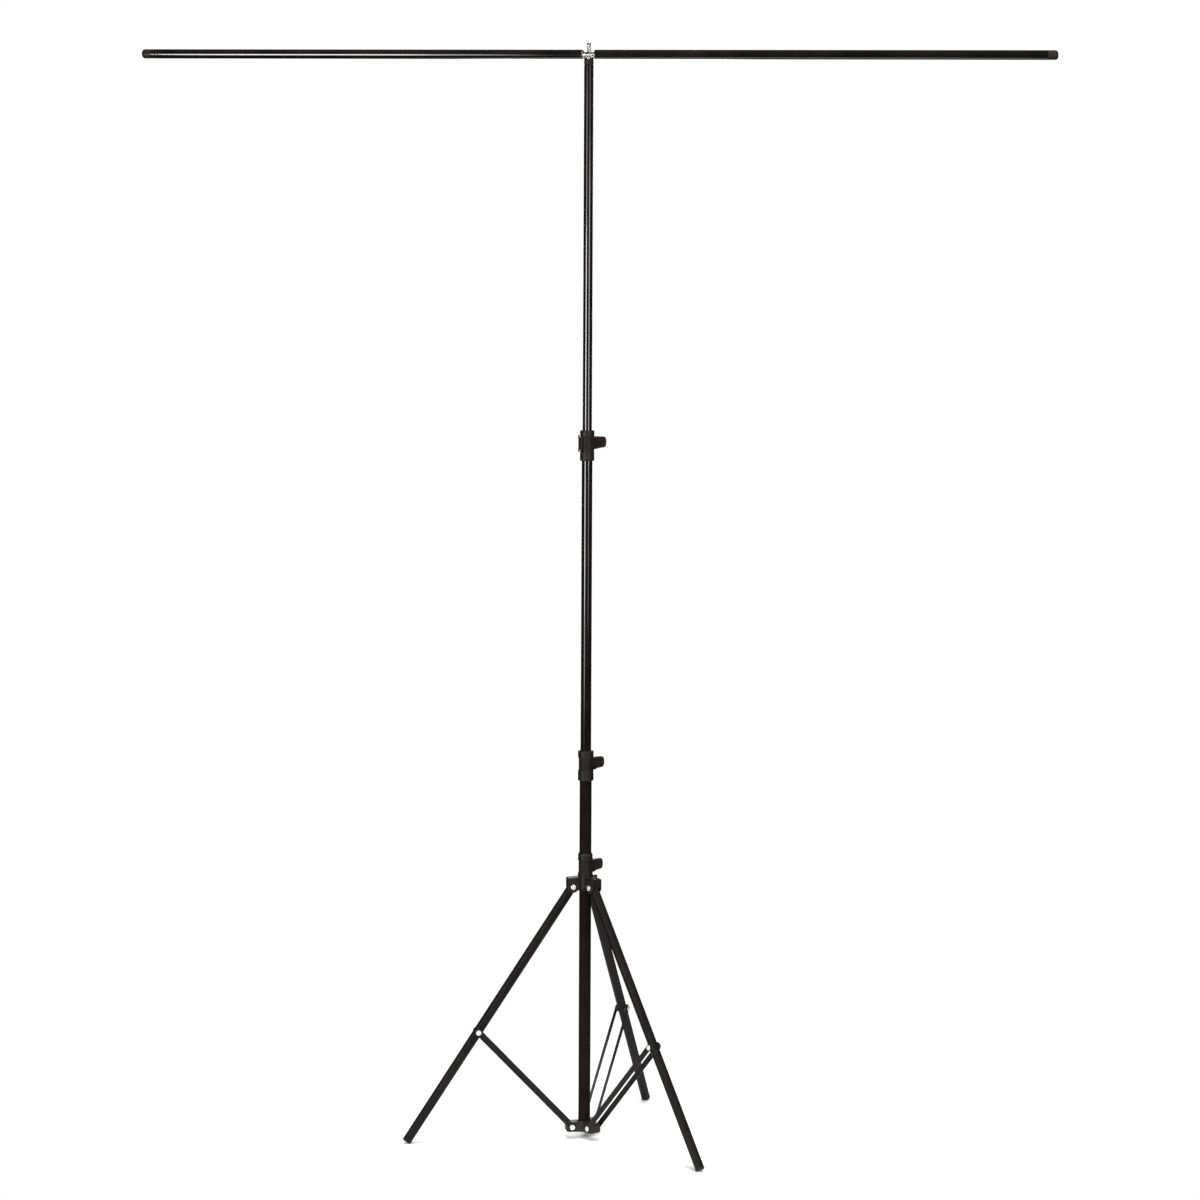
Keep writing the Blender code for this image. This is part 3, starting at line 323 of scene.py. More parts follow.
def box_distance(p, low, high, soft):
    """Distance to a box with rounded edges.

    It is |max(q, 0)| + min(max q, 0) - soft, where q = |p - middle| - half + soft on each axis.
    """
    q = [np.abs(axis - (a + b) / 2) - (b - a) / 2 + soft for axis, a, b in zip(p, low, high)]
    outside = np.sqrt(sum(np.maximum(part, 0) ** 2 for part in q))
    return outside + np.minimum(np.maximum(q[0], np.maximum(q[1], q[2])), 0) - soft


def sleeve_distance(p, radius, bottom, top, soft):
    """Distance to a rod along Z with rounded rims."""
    wide = np.hypot(p[0], p[1]) - radius
    tall = np.maximum(bottom - p[2], p[2] - top)
    return blend_max(wide, tall, soft)


def turn_into(p, degrees):
    """The same points seen from axes turned about Z by the angle."""
    c, s = math.cos(math.radians(degrees)), math.sin(math.radians(degrees))
    return c * p[0] + s * p[1], c * p[1] - s * p[0], p[2]


def ring_groove(p, radius, height, wire, depth):
    """Distance to a ring of wire that sinks into a sleeve by the depth."""
    return np.hypot(np.hypot(p[0], p[1]) - radius - wire + depth, p[2] - height) - wire


def surface_net(distance, low, high, cell):
    """Closed surface where a distance is zero.

    Each grid cell that the surface crosses has one vertex, at the mean of the crossings of the cell's edges,
    drawn onto the surface by p - d g / |g|^2 with g the gradient, twice, by a limited share of a cell. Each
    grid edge whose ends differ in sign has one quad through the four cells round it.
    """
    low, high = np.array(low, float), np.array(high, float)
    counts = np.ceil((high - low) / cell).astype(int) + 1
    axes = [low[k] + cell * np.arange(counts[k]) for k in range(3)]
    values = distance(np.meshgrid(*axes, indexing="ij"))
    sign = values < 0
    corner = [(a, b, c) for a in (0, 1) for b in (0, 1) for c in (0, 1)]
    filled = sum(sign[a:counts[0] - 1 + a, b:counts[1] - 1 + b, c:counts[2] - 1 + c].astype(np.int8)
                 for a, b, c in corner)
    cells = np.argwhere((filled > 0) & (filled < 8))
    total, hits = np.zeros((len(cells), 3)), np.zeros((len(cells), 1))
    for axis, step in enumerate(np.eye(3, dtype=int)):
        for start in corner:
            if start[axis]:
                continue
            at = cells + start
            v0, v1 = values[tuple(at.T)], values[tuple((at + step).T)]
            crossed = ((v0 < 0) != (v1 < 0))[:, None]
            share = np.where(crossed[:, 0], v0 / np.where(v0 == v1, 1, v0 - v1), 0)[:, None]
            total += crossed * (at + step * share)
            hits += crossed
    points = low + cell * total / hits
    small = cell * NET_PROBE
    for _ in range(2):
        here = distance(tuple(points.T))
        ahead = [distance(tuple((points + small * step).T)) for step in np.eye(3)]
        slope = np.stack([(there - here) / small for there in ahead], -1)
        steepness = np.maximum((slope ** 2).sum(1), LEAST_SLOPE)
        points -= np.clip(here / steepness, -NET_LIMIT * cell, NET_LIMIT * cell)[:, None] * slope
    number = np.full(counts - 1, -1)
    number[tuple(cells.T)] = np.arange(len(cells))
    faces = []
    for step in np.eye(3, dtype=int):
        side, other = np.roll(step, 1), np.roll(step, 2)
        ends = tuple(slice(0, counts[k] - step[k]) for k in range(3))
        nexts = tuple(slice(step[k], counts[k]) for k in range(3))
        edge = np.argwhere(sign[ends] != sign[nexts])
        around = [edge - side - other, edge - other, edge, edge - side]
        quad = np.stack([number[tuple(c.T)] for c in around], -1)
        flip = sign[tuple(edge.T)]
        quad[flip] = quad[flip][:, ::-1]
        faces.append(quad)
    return points, np.concatenate(faces)


def side_block(q, key, near, far, width, soft):
    """A block as high as the clamp's and level with it, between two distances along the knob's axis."""
    half, height = BLOCK_HEIGHT / 2, KNOB_HEIGHTS[key]
    return box_distance(q, (near, -width / 2, height - half), (far, width / 2, height + half), soft)


def clamp_block(p, key, sleeve, outer):
    """A sleeve with five shallow flats, 45 degrees apart, and the knob's block, filleted into each other."""
    q = turn_into(p, KNOB_AZIMUTHS[key])
    beyond = np.abs(p[2] - KNOB_HEIGHTS[key]) - BLOCK_HEIGHT / 2 - FLAT_MARGIN
    diagonal = math.sqrt(0.5)
    for outward in (q[1], -q[1], -q[0], diagonal * (q[1] - q[0]), diagonal * (-q[1] - q[0])):
        cut = np.maximum(beyond, outer - FLAT_DEPTH - outward)
        sleeve = blend_max(sleeve, -cut, FLAT_EDGE)
    return blend_min(sleeve, side_block(q, key, 0, BLOCK_REACH, BLOCK_WIDTH, BLOCK_EDGE), BLOCK_FILLET)


def screw_holes(p, key, shape):
    """Cuts the screw's hole from the bore outward and the insert's wider seat."""
    q = turn_into(p, KNOB_AZIMUTHS[key])
    across = np.hypot(q[1], p[2] - KNOB_HEIGHTS[key])
    hole = np.maximum(across - SCREW_R - GAP, -q[0])
    seat = np.maximum(across - SCREW_R - INSERT_WALL - 2 * GAP, BLOCK_REACH - INSERT_SEAT - q[0])
    return np.maximum(shape, -np.minimum(hole, seat))


def rib_and_bead(p, key, shape):
    """Adds a rib opposite the knob and, on its corner, a thin bead whose ends are thicker and stand out."""
    q, level = turn_into(p, KNOB_AZIMUTHS[key]), np.abs(p[2] - KNOB_HEIGHTS[key])
    rib = side_block(q, key, -RIB_REACH, 0, RIB_WIDTH, RIB_EDGE)
    proud = np.clip((level - BEAD_HEIGHT / 2 + BEAD_END) / BEAD_TAPER, 0, 1)
    axis = np.hypot(q[0] + RIB_REACH - BEAD_INSET, q[1] - RIB_WIDTH / 2 + BEAD_INSET)
    bead = blend_max(axis - BEAD_R + BEAD_THINNING * (1 - proud), level - BEAD_HEIGHT / 2, BEAD_EDGE)
    return blend_min(blend_min(shape, rib, RIB_FILLET), bead, BEAD_FILLET)


def collar_distance(key, tube_radius, inner_radius, tube_top):
    """Lock collar: sleeve with ring grooves, flats, block and stepped bore; the upper has rib and bead."""
    outer = tube_radius + GAP + COLLAR_WALL
    bottom, top = COLLARS[key]
    block_low, block_high = KNOB_HEIGHTS[key] - BLOCK_HEIGHT / 2, KNOB_HEIGHTS[key] + BLOCK_HEIGHT / 2
    ring_heights = [block_low - drop for drop in COLLAR_RINGS_BELOW] + [block_high + COLLAR_RING_ABOVE]

    def distance(p):
        shape = sleeve_distance(p, outer, bottom, top, COLLAR_RIM)
        for z in ring_heights:
            groove = ring_groove(p, outer, z, COLLAR_RING_WIRE, COLLAR_RING_DEPTH)
            shape = blend_max(shape, -groove, COLLAR_RING_EDGE)
        shape = clamp_block(p, key, shape, outer)
        if key == "upper":
            shape = rib_and_bead(p, key, shape)
        round_ = np.hypot(p[0], p[1])
        low_bore = np.maximum(round_ - tube_radius - GAP, p[2] - tube_top - GAP)
        shape = blend_max(shape, -np.minimum(low_bore, round_ - inner_radius - GAP), COLLAR_BORE_EDGE)
        return screw_holes(p, key, shape)

    return distance


def ear_and_slot(p, azimuth):
    """Distances to a leg's ear on the sliding hub and to the slot that the leg turns in."""
    x, y, z = turn_into(p, azimuth)
    dx, dz = x - PIVOT_R, z - LEG_PIVOT_Z
    inner = BASE_R + GAP + EAR_ROOT
    disc = np.hypot(dx, dz) - EAR_ROUND
    upper = np.maximum(np.maximum(inner - x, x - EAR_REACH), -dz)
    root = np.maximum(np.maximum(inner - x, dx), np.maximum(HUB_BOTTOM + EAR_LIFT - z, dz - EAR_ROOT))
    slope = EAR_DROP / (EAR_REACH - inner)
    roof = (z - EAR_TOP + slope * (x - inner)) / math.hypot(1, slope)
    side = blend_max(np.minimum(np.minimum(disc, upper), root), roof, EAR_ROOF_EDGE)
    ear = blend_max(side, np.abs(y) - EAR_HALF, EAR_EDGE)
    slot_r = LEG_R + RUNNING_GAP
    nose = np.hypot(dx, dz) - slot_r
    across = math.cos(LEG_ANGLE) * dx + math.sin(LEG_ANGLE) * dz - slot_r
    along = math.sin(LEG_ANGLE) * dx - math.cos(LEG_ANGLE) * dz
    open_side = np.maximum(np.maximum(across, -along), -dx - slot_r)
    open_down = np.maximum(np.maximum(-dx - slot_r, dz), across)
    slot = np.maximum(np.minimum(nose, np.minimum(open_side, open_down)), np.abs(y) - LEG_HALF_GAP)
    return ear, slot


def upper_hub_distance(p):
    """Sliding hub: a sleeve with a neck, three slotted ears about the leg pivots, and a clamp block."""
    round_ = np.hypot(p[0], p[1])
    shape = sleeve_distance(p, HUB_R, HUB_BOTTOM, HUB_TOP, HUB_RIM)
    neck = (round_ - HUB_R) * NECK_ACROSS + (p[2] - HUB_TOP + NECK_HEIGHT) * NECK_UP
    shape = blend_max(shape, neck, NECK_EDGE)
    groove = ring_groove(p, HUB_R, HUB_TOP - HUB_RING_DROP, HUB_RING_WIRE, HUB_RING_DEPTH)
    shape = blend_max(shape, -groove, HUB_RING_EDGE)
    shape = clamp_block(p, "hub", shape, HUB_R)
    slots = []
    for azimuth in LEG_AZIMUTHS.values():
        ear, slot = ear_and_slot(p, azimuth)
        shape = blend_min(shape, ear, HUB_FILLET)
        slots.append(slot)
    shape = blend_max(shape, -np.minimum.reduce(slots), SLOT_EDGE)
    shape = blend_max(shape, BASE_R + GAP - round_, BORE_EDGE)
    return screw_holes(p, "hub", shape)


def lower_hub_distance(p):
    """Fixed hub: a cup for the base tube with three rounded lugs, and a drain hole."""
    round_ = np.hypot(p[0], p[1])
    shape = sleeve_distance(p, HUB_R, LUG_BOTTOM, LOWER_HUB_TOP, LOWER_HUB_RIM)
    reach, low, high = LUG_REACH - LUG_ROUND, LUG_BOTTOM + LUG_ROUND, LUG_TOP - LUG_ROUND
    for azimuth in LEG_AZIMUTHS.values():
        x, y, z = turn_into(p, azimuth)
        dx, dz = x - reach, np.maximum(low - z, z - high)
        side = np.hypot(np.maximum(dx, 0), np.maximum(dz, 0)) + np.minimum(np.maximum(dx, dz), 0) - LUG_ROUND
        lug = np.maximum(blend_max(side, np.abs(y) - LUG_HALF, EAR_EDGE), -x)
        shape = blend_min(shape, lug, HUB_FILLET)
    cup = np.maximum(round_ - BASE_R - GAP, LUG_BOTTOM + LOWER_HUB_FLOOR - p[2])
    return blend_max(shape, -np.minimum(cup, round_ - DRAIN_R), BORE_EDGE)


def head_plug_distance(p):
    """Plug in the top tube: a rim as wide as the tube, a V-groove along the crossbar and the stud's hole."""
    bottom = TOP_TOP + GAP
    rim = sleeve_distance(p, TOP_R, bottom, PLUG_TOP, PLUG_RIM_EDGE)
    stem = sleeve_distance(p, TOP_R - WALL - GAP, bottom - PLUG_STEM, bottom + PLUG_LAP, PLUG_RIM_EDGE)
    x, _, z = turn_into(p, BAR_AZIMUTH)
    run, rise = TOP_R - PLUG_RIM - STUD_SHOULDER_R, PLUG_GROOVE
    flank = ((np.abs(x) - STUD_SHOULDER_R) * rise - (z - PLUG_FLOOR) * run) / math.hypot(run, rise)
    shape = blend_max(np.minimum(rim, stem), -np.maximum(flank, PLUG_FLOOR - z), PLUG_GROOVE_EDGE)
    hole = np.maximum(np.hypot(p[0], p[1]) - STUD_R - GAP, PLUG_FLOOR - STUD_IN_PLUG - GAP - z)
    return np.maximum(shape, -hole)


# Nodes
def feed(tree, socket, value):
    """Gives a socket a number, a colour of three numbers or what another socket puts out."""
    if isinstance(value, tuple):
        socket.default_value = (*value, 1.0)
    elif isinstance(value, (int, float)):
        socket.default_value = value
    else:
        tree.links.new(value, socket)


def fed_node(tree, kind, **values):
    """A new node with values fed to its named inputs."""
    node = tree.nodes.new("ShaderNode" + kind)
    for key, value in values.items():
        feed(tree, node.inputs[key.replace("_", " ")], value)
    return node


def math_node(tree, operation, *values, clamp=False):
    """A Math node of an operation on sockets or numbers; returns its output."""
    node = tree.nodes.new("ShaderNodeMath")
    node.operation, node.use_clamp = operation, clamp
    for socket, value in zip(node.inputs, values):
        feed(tree, socket, value)
    return node.outputs[0]


def times(tree, first, second):
    """The product of two sockets or numbers."""
    return math_node(tree, "MULTIPLY", first, second)


def plus(tree, first, second, clamp=False):
    """The sum of two sockets or numbers."""
    return math_node(tree, "ADD", first, second, clamp=clamp)


def noise_node(tree, vector, scale, detail=2.0, roughness=0.5):
    """A noise texture on a vector; returns its value, about 0.5 on average."""
    noise = fed_node(tree, "TexNoise", Vector=vector, Scale=scale, Detail=detail, Roughness=roughness)
    return noise.outputs["Fac"]


def range_node(tree, value, low, high, to_low=0.0, to_high=1.0):
    """Maps a value from one range to another, clamped."""
    return fed_node(tree, "MapRange", Value=value, From_Min=low, From_Max=high, To_Min=to_low,
                    To_Max=to_high).outputs["Result"]


def mix_colours(tree, share, first, second):
    """Mixes two colours, each a socket or three numbers, by a share."""
    node = tree.nodes.new("ShaderNodeMix")
    node.data_type = "RGBA"
    for socket, value in ((node.inputs["Factor"], share), (node.inputs[6], first), (node.inputs[7], second)):
        feed(tree, socket, value)
    return node.outputs[2]


def stretched(tree, vector, across, along):
    """The vector with Z scaled by one number and X and Y by another, for lines drawn along a tube."""
    node = tree.nodes.new("ShaderNodeVectorMath")
    node.operation = "MULTIPLY"
    tree.links.new(vector, node.inputs[0])
    node.inputs[1].default_value = (across, across, along)
    return node.outputs[0]


# Shader groups
DUST_COLOUR = (0.30, 0.29, 0.27)


def shader_group(name, **inputs):
    """A new node group that takes a vector and the given numbers and colours; returns it and its inputs."""
    tree = bpy.data.node_groups.new(name, "ShaderNodeTree")
    tree.interface.new_socket("Vector", in_out="INPUT", socket_type="NodeSocketVector")
    for key, value in inputs.items():
        kind = "NodeSocketColor" if isinstance(value, tuple) else "NodeSocketFloat"
        feed(tree, tree.interface.new_socket(key.replace("_", " "), in_out="INPUT", socket_type=kind), value)
    for key, kind in (("Color", "Color"), ("Roughness", "Float"), ("Height", "Float")):
        tree.interface.new_socket(key, in_out="OUTPUT", socket_type="NodeSocket" + kind)
    return tree, tree.nodes.new("NodeGroupInput").outputs


def put_out(tree, colour, roughness, height):
    """Ends a group with its colour, roughness and height."""
    outlet = tree.nodes.new("NodeGroupOutput")
    for key, value in (("Color", colour), ("Roughness", roughness), ("Height", height)):
        tree.links.new(value, outlet.inputs[key])
    return tree


def dust_share(tree, get, scale, low, high, facing):
    """Specks of dust where a fine noise is high, as much as the surface looks up."""
    specks = range_node(tree, noise_node(tree, get["Vector"], scale, 1.0), low, high)
    return times(tree, range_node(tree, get["Up"], facing, 1.0), times(tree, specks, get["Dust"]))


def painted_group():
    """Stove paint on a drawn tube: faint lines along it, orange peel, rub marks and a little dust on top."""
    tree, get = shader_group("painted_tube", Up=0.0, Colour=(0.01, 0.01, 0.01), Smooth=0.15, Rough=0.3,
                             Peel_Scale=420.0, Rub=0.5, Dust=0.2)
    place = get["Vector"]
    lines = noise_node(tree, stretched(tree, place, 900.0, 6.0), 1.0, 3.0, 0.6)
    rubs = noise_node(tree, stretched(tree, place, 260.0, 9.0), 1.0, 4.0, 0.65)
    cloud = range_node(tree, noise_node(tree, place, 14.0, 3.0), 0.35, 0.7)
    peel = noise_node(tree, place, get["Peel Scale"], 1.0)
    rub = times(tree, range_node(tree, rubs, 0.56, 0.74), get["Rub"])
    dust = dust_share(tree, get, 2400.0, 0.55, 0.72, 0.1)
    tint = mix_colours(tree, times(tree, cloud, 0.35), get["Colour"], (0.014, 0.0105, 0.0100))
    worn = mix_colours(tree, times(tree, rub, 0.5), tint, (0.030, 0.026, 0.025))
    rough = range_node(tree, lines, 0.3, 0.75, get["Smooth"], get["Rough"])
    rough = plus(tree, rough, times(tree, rub, 0.22))
    rough = plus(tree, rough, times(tree, dust, 0.6), clamp=True)
    height = plus(tree, times(tree, peel, 0.7), times(tree, lines, 0.3))
    return put_out(tree, mix_colours(tree, dust, worn, DUST_COLOUR), rough, height)


def moulded_group():
    """Moulded plastic: spark-eroded grain, slow flow marks, scuffs and a little dust on top."""
    tree, get = shader_group("moulded_plastic", Up=0.0, Colour=(0.02, 0.02, 0.02),
                             Scuff_Colour=(0.07, 0.067, 0.064), Smooth=0.42, Rough=0.6, Grain_Scale=1500.0,
                             Scuffs=0.5, Dust=0.2)
    place = get["Vector"]
    grain = noise_node(tree, place, get["Grain Scale"], 2.0, 0.6)
    flow = noise_node(tree, stretched(tree, place, 40.0, 120.0), 1.0, 2.0)
    marks = noise_node(tree, stretched(tree, place, 420.0, 150.0), 1.0, 5.0, 0.7)
    scuff = times(tree, range_node(tree, marks, 0.60, 0.74), get["Scuffs"])
    dust = dust_share(tree, get, 2600.0, 0.52, 0.7, 0.2)
    cloud = range_node(tree, flow, 0.35, 0.7, 0.0, 0.4)
    tint = mix_colours(tree, cloud, get["Colour"], (0.018, 0.0130, 0.0122))
    worn = mix_colours(tree, scuff, tint, get["Scuff Colour"])
    rough = range_node(tree, flow, 0.3, 0.7, get["Smooth"], get["Rough"])
    rough = plus(tree, rough, times(tree, plus(tree, scuff, dust), 0.25), clamp=True)
    height = math_node(tree, "SUBTRACT", grain, times(tree, scuff, 0.4))
    return put_out(tree, mix_colours(tree, dust, worn, DUST_COLOUR), rough, height)


def metal_group():
    """Plated or bare metal: turning lines, slow tarnish and pits."""
    tree, get = shader_group("worked_metal", Colour=(0.7, 0.7, 0.7), Tarnish=(0.4, 0.4, 0.4), Smooth=0.1,
                             Rough=0.3)
    place = get["Vector"]
    pits = noise_node(tree, place, 2600.0, 2.0)
    lines = noise_node(tree, stretched(tree, place, 120.0, 6000.0), 1.0, 2.0)
    stain = range_node(tree, noise_node(tree, place, 180.0, 4.0, 0.6), 0.45, 0.75, 0.0, 0.7)
    rough = range_node(tree, lines, 0.3, 0.7, get["Smooth"], get["Rough"])
    rough = plus(tree, rough, times(tree, stain, 0.12), clamp=True)
    height = plus(tree, times(tree, lines, 0.6), times(tree, pits, 0.4))
    return put_out(tree, mix_colours(tree, stain, get["Colour"], get["Tarnish"]), rough, height)


PAINTED, MOULDED, WORKED = painted_group(), moulded_group(), metal_group()


# Finishes
def finish(name, group, bump, metallic=0.0, turn=(0.0, 0.0, 0.0), gloss=0.5, **values):
    """A material: Object coordinates, turned where asked, through a group into the Principled shader."""
    mat = bpy.data.materials.new(name)
    mat.use_nodes = True
    tree = mat.node_tree
    shader = tree.nodes["Principled BSDF"]
    shader.inputs["Metallic"].default_value = metallic
    shader.inputs["Specular IOR Level"].default_value = gloss
    places = tree.nodes.new("ShaderNodeTexCoord")
    mapping = fed_node(tree, "Mapping", Vector=places.outputs["Object"])
    mapping.inputs["Rotation"].default_value = turn
    effect = tree.nodes.new("ShaderNodeGroup")
    effect.node_tree = group
    tree.links.new(mapping.outputs["Vector"], effect.inputs["Vector"])
    if "Up" in effect.inputs:
        parts = fed_node(tree, "SeparateXYZ", Vector=places.outputs["Normal"])
        tree.links.new(parts.outputs["Z"], effect.inputs["Up"])
    for key, value in values.items():
        feed(tree, effect.inputs[key.replace("_", " ")], value)
    relief = fed_node(tree, "Bump", Strength=1.0, Distance=bump, Height=effect.outputs["Height"])
    tree.links.new(relief.outputs["Normal"], shader.inputs["Normal"])
    tree.links.new(effect.outputs["Color"], shader.inputs["Base Color"])
    tree.links.new(effect.outputs["Roughness"], shader.inputs["Roughness"])
    return mat


def along_axis(direction):
    """Mapping angles that bring a direction onto Z, so that lines run along a tube."""
    return tuple(Vector(direction).rotation_difference(Vector((0, 0, 1))).to_euler())


PAINT = dict(gloss=0.75, Colour=(0.0020, 0.0016, 0.0015), Smooth=0.08, Rough=0.13, Peel_Scale=420.0,
             Rub=0.10, Dust=0.03)
SATIN = dict(gloss=0.14, Colour=(0.0042, 0.0031, 0.0033), Smooth=0.48, Rough=0.62, Peel_Scale=1700.0,
             Rub=0.25, Dust=0.06)
MATTE = {**SATIN, "gloss": 0.08, "Colour": (0.0036, 0.0022, 0.0021), "Smooth": 0.62, "Rough": 0.76}
STEEL_PAINT = dict(gloss=0.22, Colour=(0.0040, 0.0034, 0.0033), Smooth=0.34, Rough=0.50, Peel_Scale=1300.0,
                   Rub=0.3, Dust=0.06)
TUBE_PAINT = finish("tube_gloss_black", PAINTED, 0.0000015, **PAINT)
BASE_PAINT = finish("base_tube_matte_black", PAINTED, 0.000012, **MATTE)
PLASTIC = finish("collar_moulded_black", MOULDED, 0.000016, gloss=0.32, Colour=(0.0075, 0.0050, 0.0047),
                 Smooth=0.42, Rough=0.56, Grain_Scale=1500.0, Scuffs=0.20, Dust=0.08)
KNOB_PLASTIC = finish("knob_moulded_black", MOULDED, 0.000012, gloss=0.3, Colour=(0.0125, 0.0093, 0.0088),
                      Smooth=0.46, Rough=0.58, Grain_Scale=1900.0, Scuffs=0.30, Dust=0.08)
NYLON = finish("washer_nylon_black", MOULDED, 0.000008, gloss=0.4, Colour=(0.0075, 0.0073, 0.0073),
               Smooth=0.45, Rough=0.6, Grain_Scale=2600.0, Scuffs=0.2, Dust=0.08)
RUBBER = finish("foot_rubber_black", MOULDED, 0.000015, gloss=0.3, Colour=(0.0080, 0.0075, 0.0073),
                Smooth=0.62, Rough=0.8, Grain_Scale=1200.0, Scuffs=0.6, Dust=0.25)
NICKEL = finish("rivet_bright_nickel", WORKED, 0.000004, metallic=0.75, Colour=(0.93, 0.92, 0.90),
                Tarnish=(0.74, 0.71, 0.66), Smooth=0.40, Rough=0.52)
CHROME = finish("stud_chrome", WORKED, 0.0000015, metallic=0.96, Colour=(0.82, 0.83, 0.84),
                Tarnish=(0.62, 0.62, 0.62), Smooth=0.18, Rough=0.28)
LINK_PLATE = finish("link_bright_plate", WORKED, 0.000002, metallic=1.0, Colour=(0.90, 0.90, 0.90),
                    Tarnish=(0.72, 0.72, 0.72), Smooth=0.24, Rough=0.34)
ZINC = finish("screw_zinc", WORKED, 0.000004, metallic=1.0, Colour=(0.60, 0.61, 0.62),
              Tarnish=(0.46, 0.44, 0.38), Smooth=0.28, Rough=0.42)
BRASS = finish("insert_brass", WORKED, 0.000004, metallic=1.0, Colour=(0.72, 0.52, 0.24),
               Tarnish=(0.42, 0.30, 0.15), Smooth=0.24, Rough=0.40)


def arm_finish(name):
    """The arms' gloss paint, with bare metal where the tube was cut off beside the stud."""
    mat = finish(name, PAINTED, 0.0000012, turn=along_axis(BAR_DIRECTION), **PAINT)
    tree = mat.node_tree
    shader = tree.nodes["Principled BSDF"]
    mapping = next(node for node in tree.nodes if node.type == "MAPPING")
    parts = fed_node(tree, "SeparateXYZ", Vector=mapping.outputs["Vector"])
    along = math_node(tree, "ABSOLUTE", parts.outputs["Z"])
    bare_end = ARM_START + BARE_LENGTH
    cut = range_node(tree, along, bare_end, bare_end + BARE_FADE, 1.0, 0.0)
    colour, rough = shader.inputs["Base Color"], shader.inputs["Roughness"]
    tree.links.new(mix_colours(tree, cut, colour.links[0].from_socket, (0.78, 0.77, 0.75)), colour)
    tree.links.new(range_node(tree, cut, 0.0, 1.0, rough.links[0].from_socket, 0.3), rough)
    tree.links.new(range_node(tree, cut, 0.0, 1.0, 0.0, 1.0), shader.inputs["Metallic"])
    return mat


ARM_PAINT = arm_finish("arm_gloss_black")


# Column
def pipe_profile(outer, inner, bottom, top):
    """Closed profile of a tube with softened rims; a row near each keeps the long faces' shading straight."""
    low, high = bottom + NEAR_RIM, top - NEAR_RIM
    return rounded([(outer, bottom), (outer, low), (outer, high), (outer, top),
                    (inner, top), (inner, high), (inner, low), (inner, bottom)], TUBE_RIM, 3, closed=True)


def column():
    """The three tubes, each with its outer radius, its ends, its paint, its body and its slot."""
    seat = LUG_BOTTOM + LOWER_HUB_FLOOR + GAP
    rows = (("base_tube", BASE_R, seat, BASE_TOP, BASE_PAINT, "base", "satin_black"),
            ("mid_tube", MID_R, BASE_TOP - OVERLAP, MID_TOP, TUBE_PAINT, "mid_section", "gloss_black"),
            ("top_tube", TOP_R, MID_TOP - OVERLAP, TOP_TOP, TUBE_PAINT, "top_section", "gloss_black"))
    for node, radius, bottom, top, paint, body, slot in rows:
        surface = turned(pipe_profile(radius, radius - WALL, bottom, top), closed=True)
        add_piece(node + "_skin", surface, paint, body, node, slot)


def moulding(node, distance, cell, body):
    """A moulded piece from its distance, in the box of the node that it replaces."""
    low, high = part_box(node)
    margin = NET_MARGIN * cell
    surface = surface_net(distance, [a - margin for a in low], [b + margin for b in high], cell)
    add_piece(node + "_moulding", surface, PLASTIC, body, node, "plastic", sharp=60.0)


def mouldings():
    """Both hubs, both lock collars and the head plug."""
    lower = collar_distance("lower", BASE_R, MID_R, BASE_TOP)
    upper = collar_distance("upper", MID_R, TOP_R, MID_TOP)
    moulding("upper_hub", upper_hub_distance, HUB_CELL, "sliding_hub")
    moulding("lower_hub", lower_hub_distance, COLLAR_CELL, "base")
    moulding("lower_collar", lower, COLLAR_CELL, "base")
    moulding("upper_collar", upper, COLLAR_CELL, "mid_section")
    moulding("head_plug", head_plug_distance, PLUG_CELL, "top_section")


# Knobs and screws: places along a knob are shares of its length, and a step has its place and its length
KNOB_ROOT_END, KNOB_TIP_START = 0.06, 0.82
KNOB_ROOT_SHRINK, KNOB_TIP_SHRINK, KNOB_SLIMMING = 0.07, 0.86, 0.985
KNOB_POWER_WIDE, KNOB_POWER_HIGH = 0.60, 0.72
HOLLOW_SHALLOW, HOLLOW_DEEPER = 0.14, 0.32
HOLLOW_START, HOLLOW_MIDDLE, HOLLOW_END = (0.06, 0.18), (0.38, 0.16), (0.93, -0.10)
HOLLOW_EDGE = (0.86, -0.22)
PARTING_HALF, PARTING_SLOPE, PARTING_PROUD = 0.00025, 0.00020, 0.012
THREAD_ROWS, THREAD_START, THREAD_END, THREAD_PLAIN = 190, 0.0008, 0.0005, 0.9


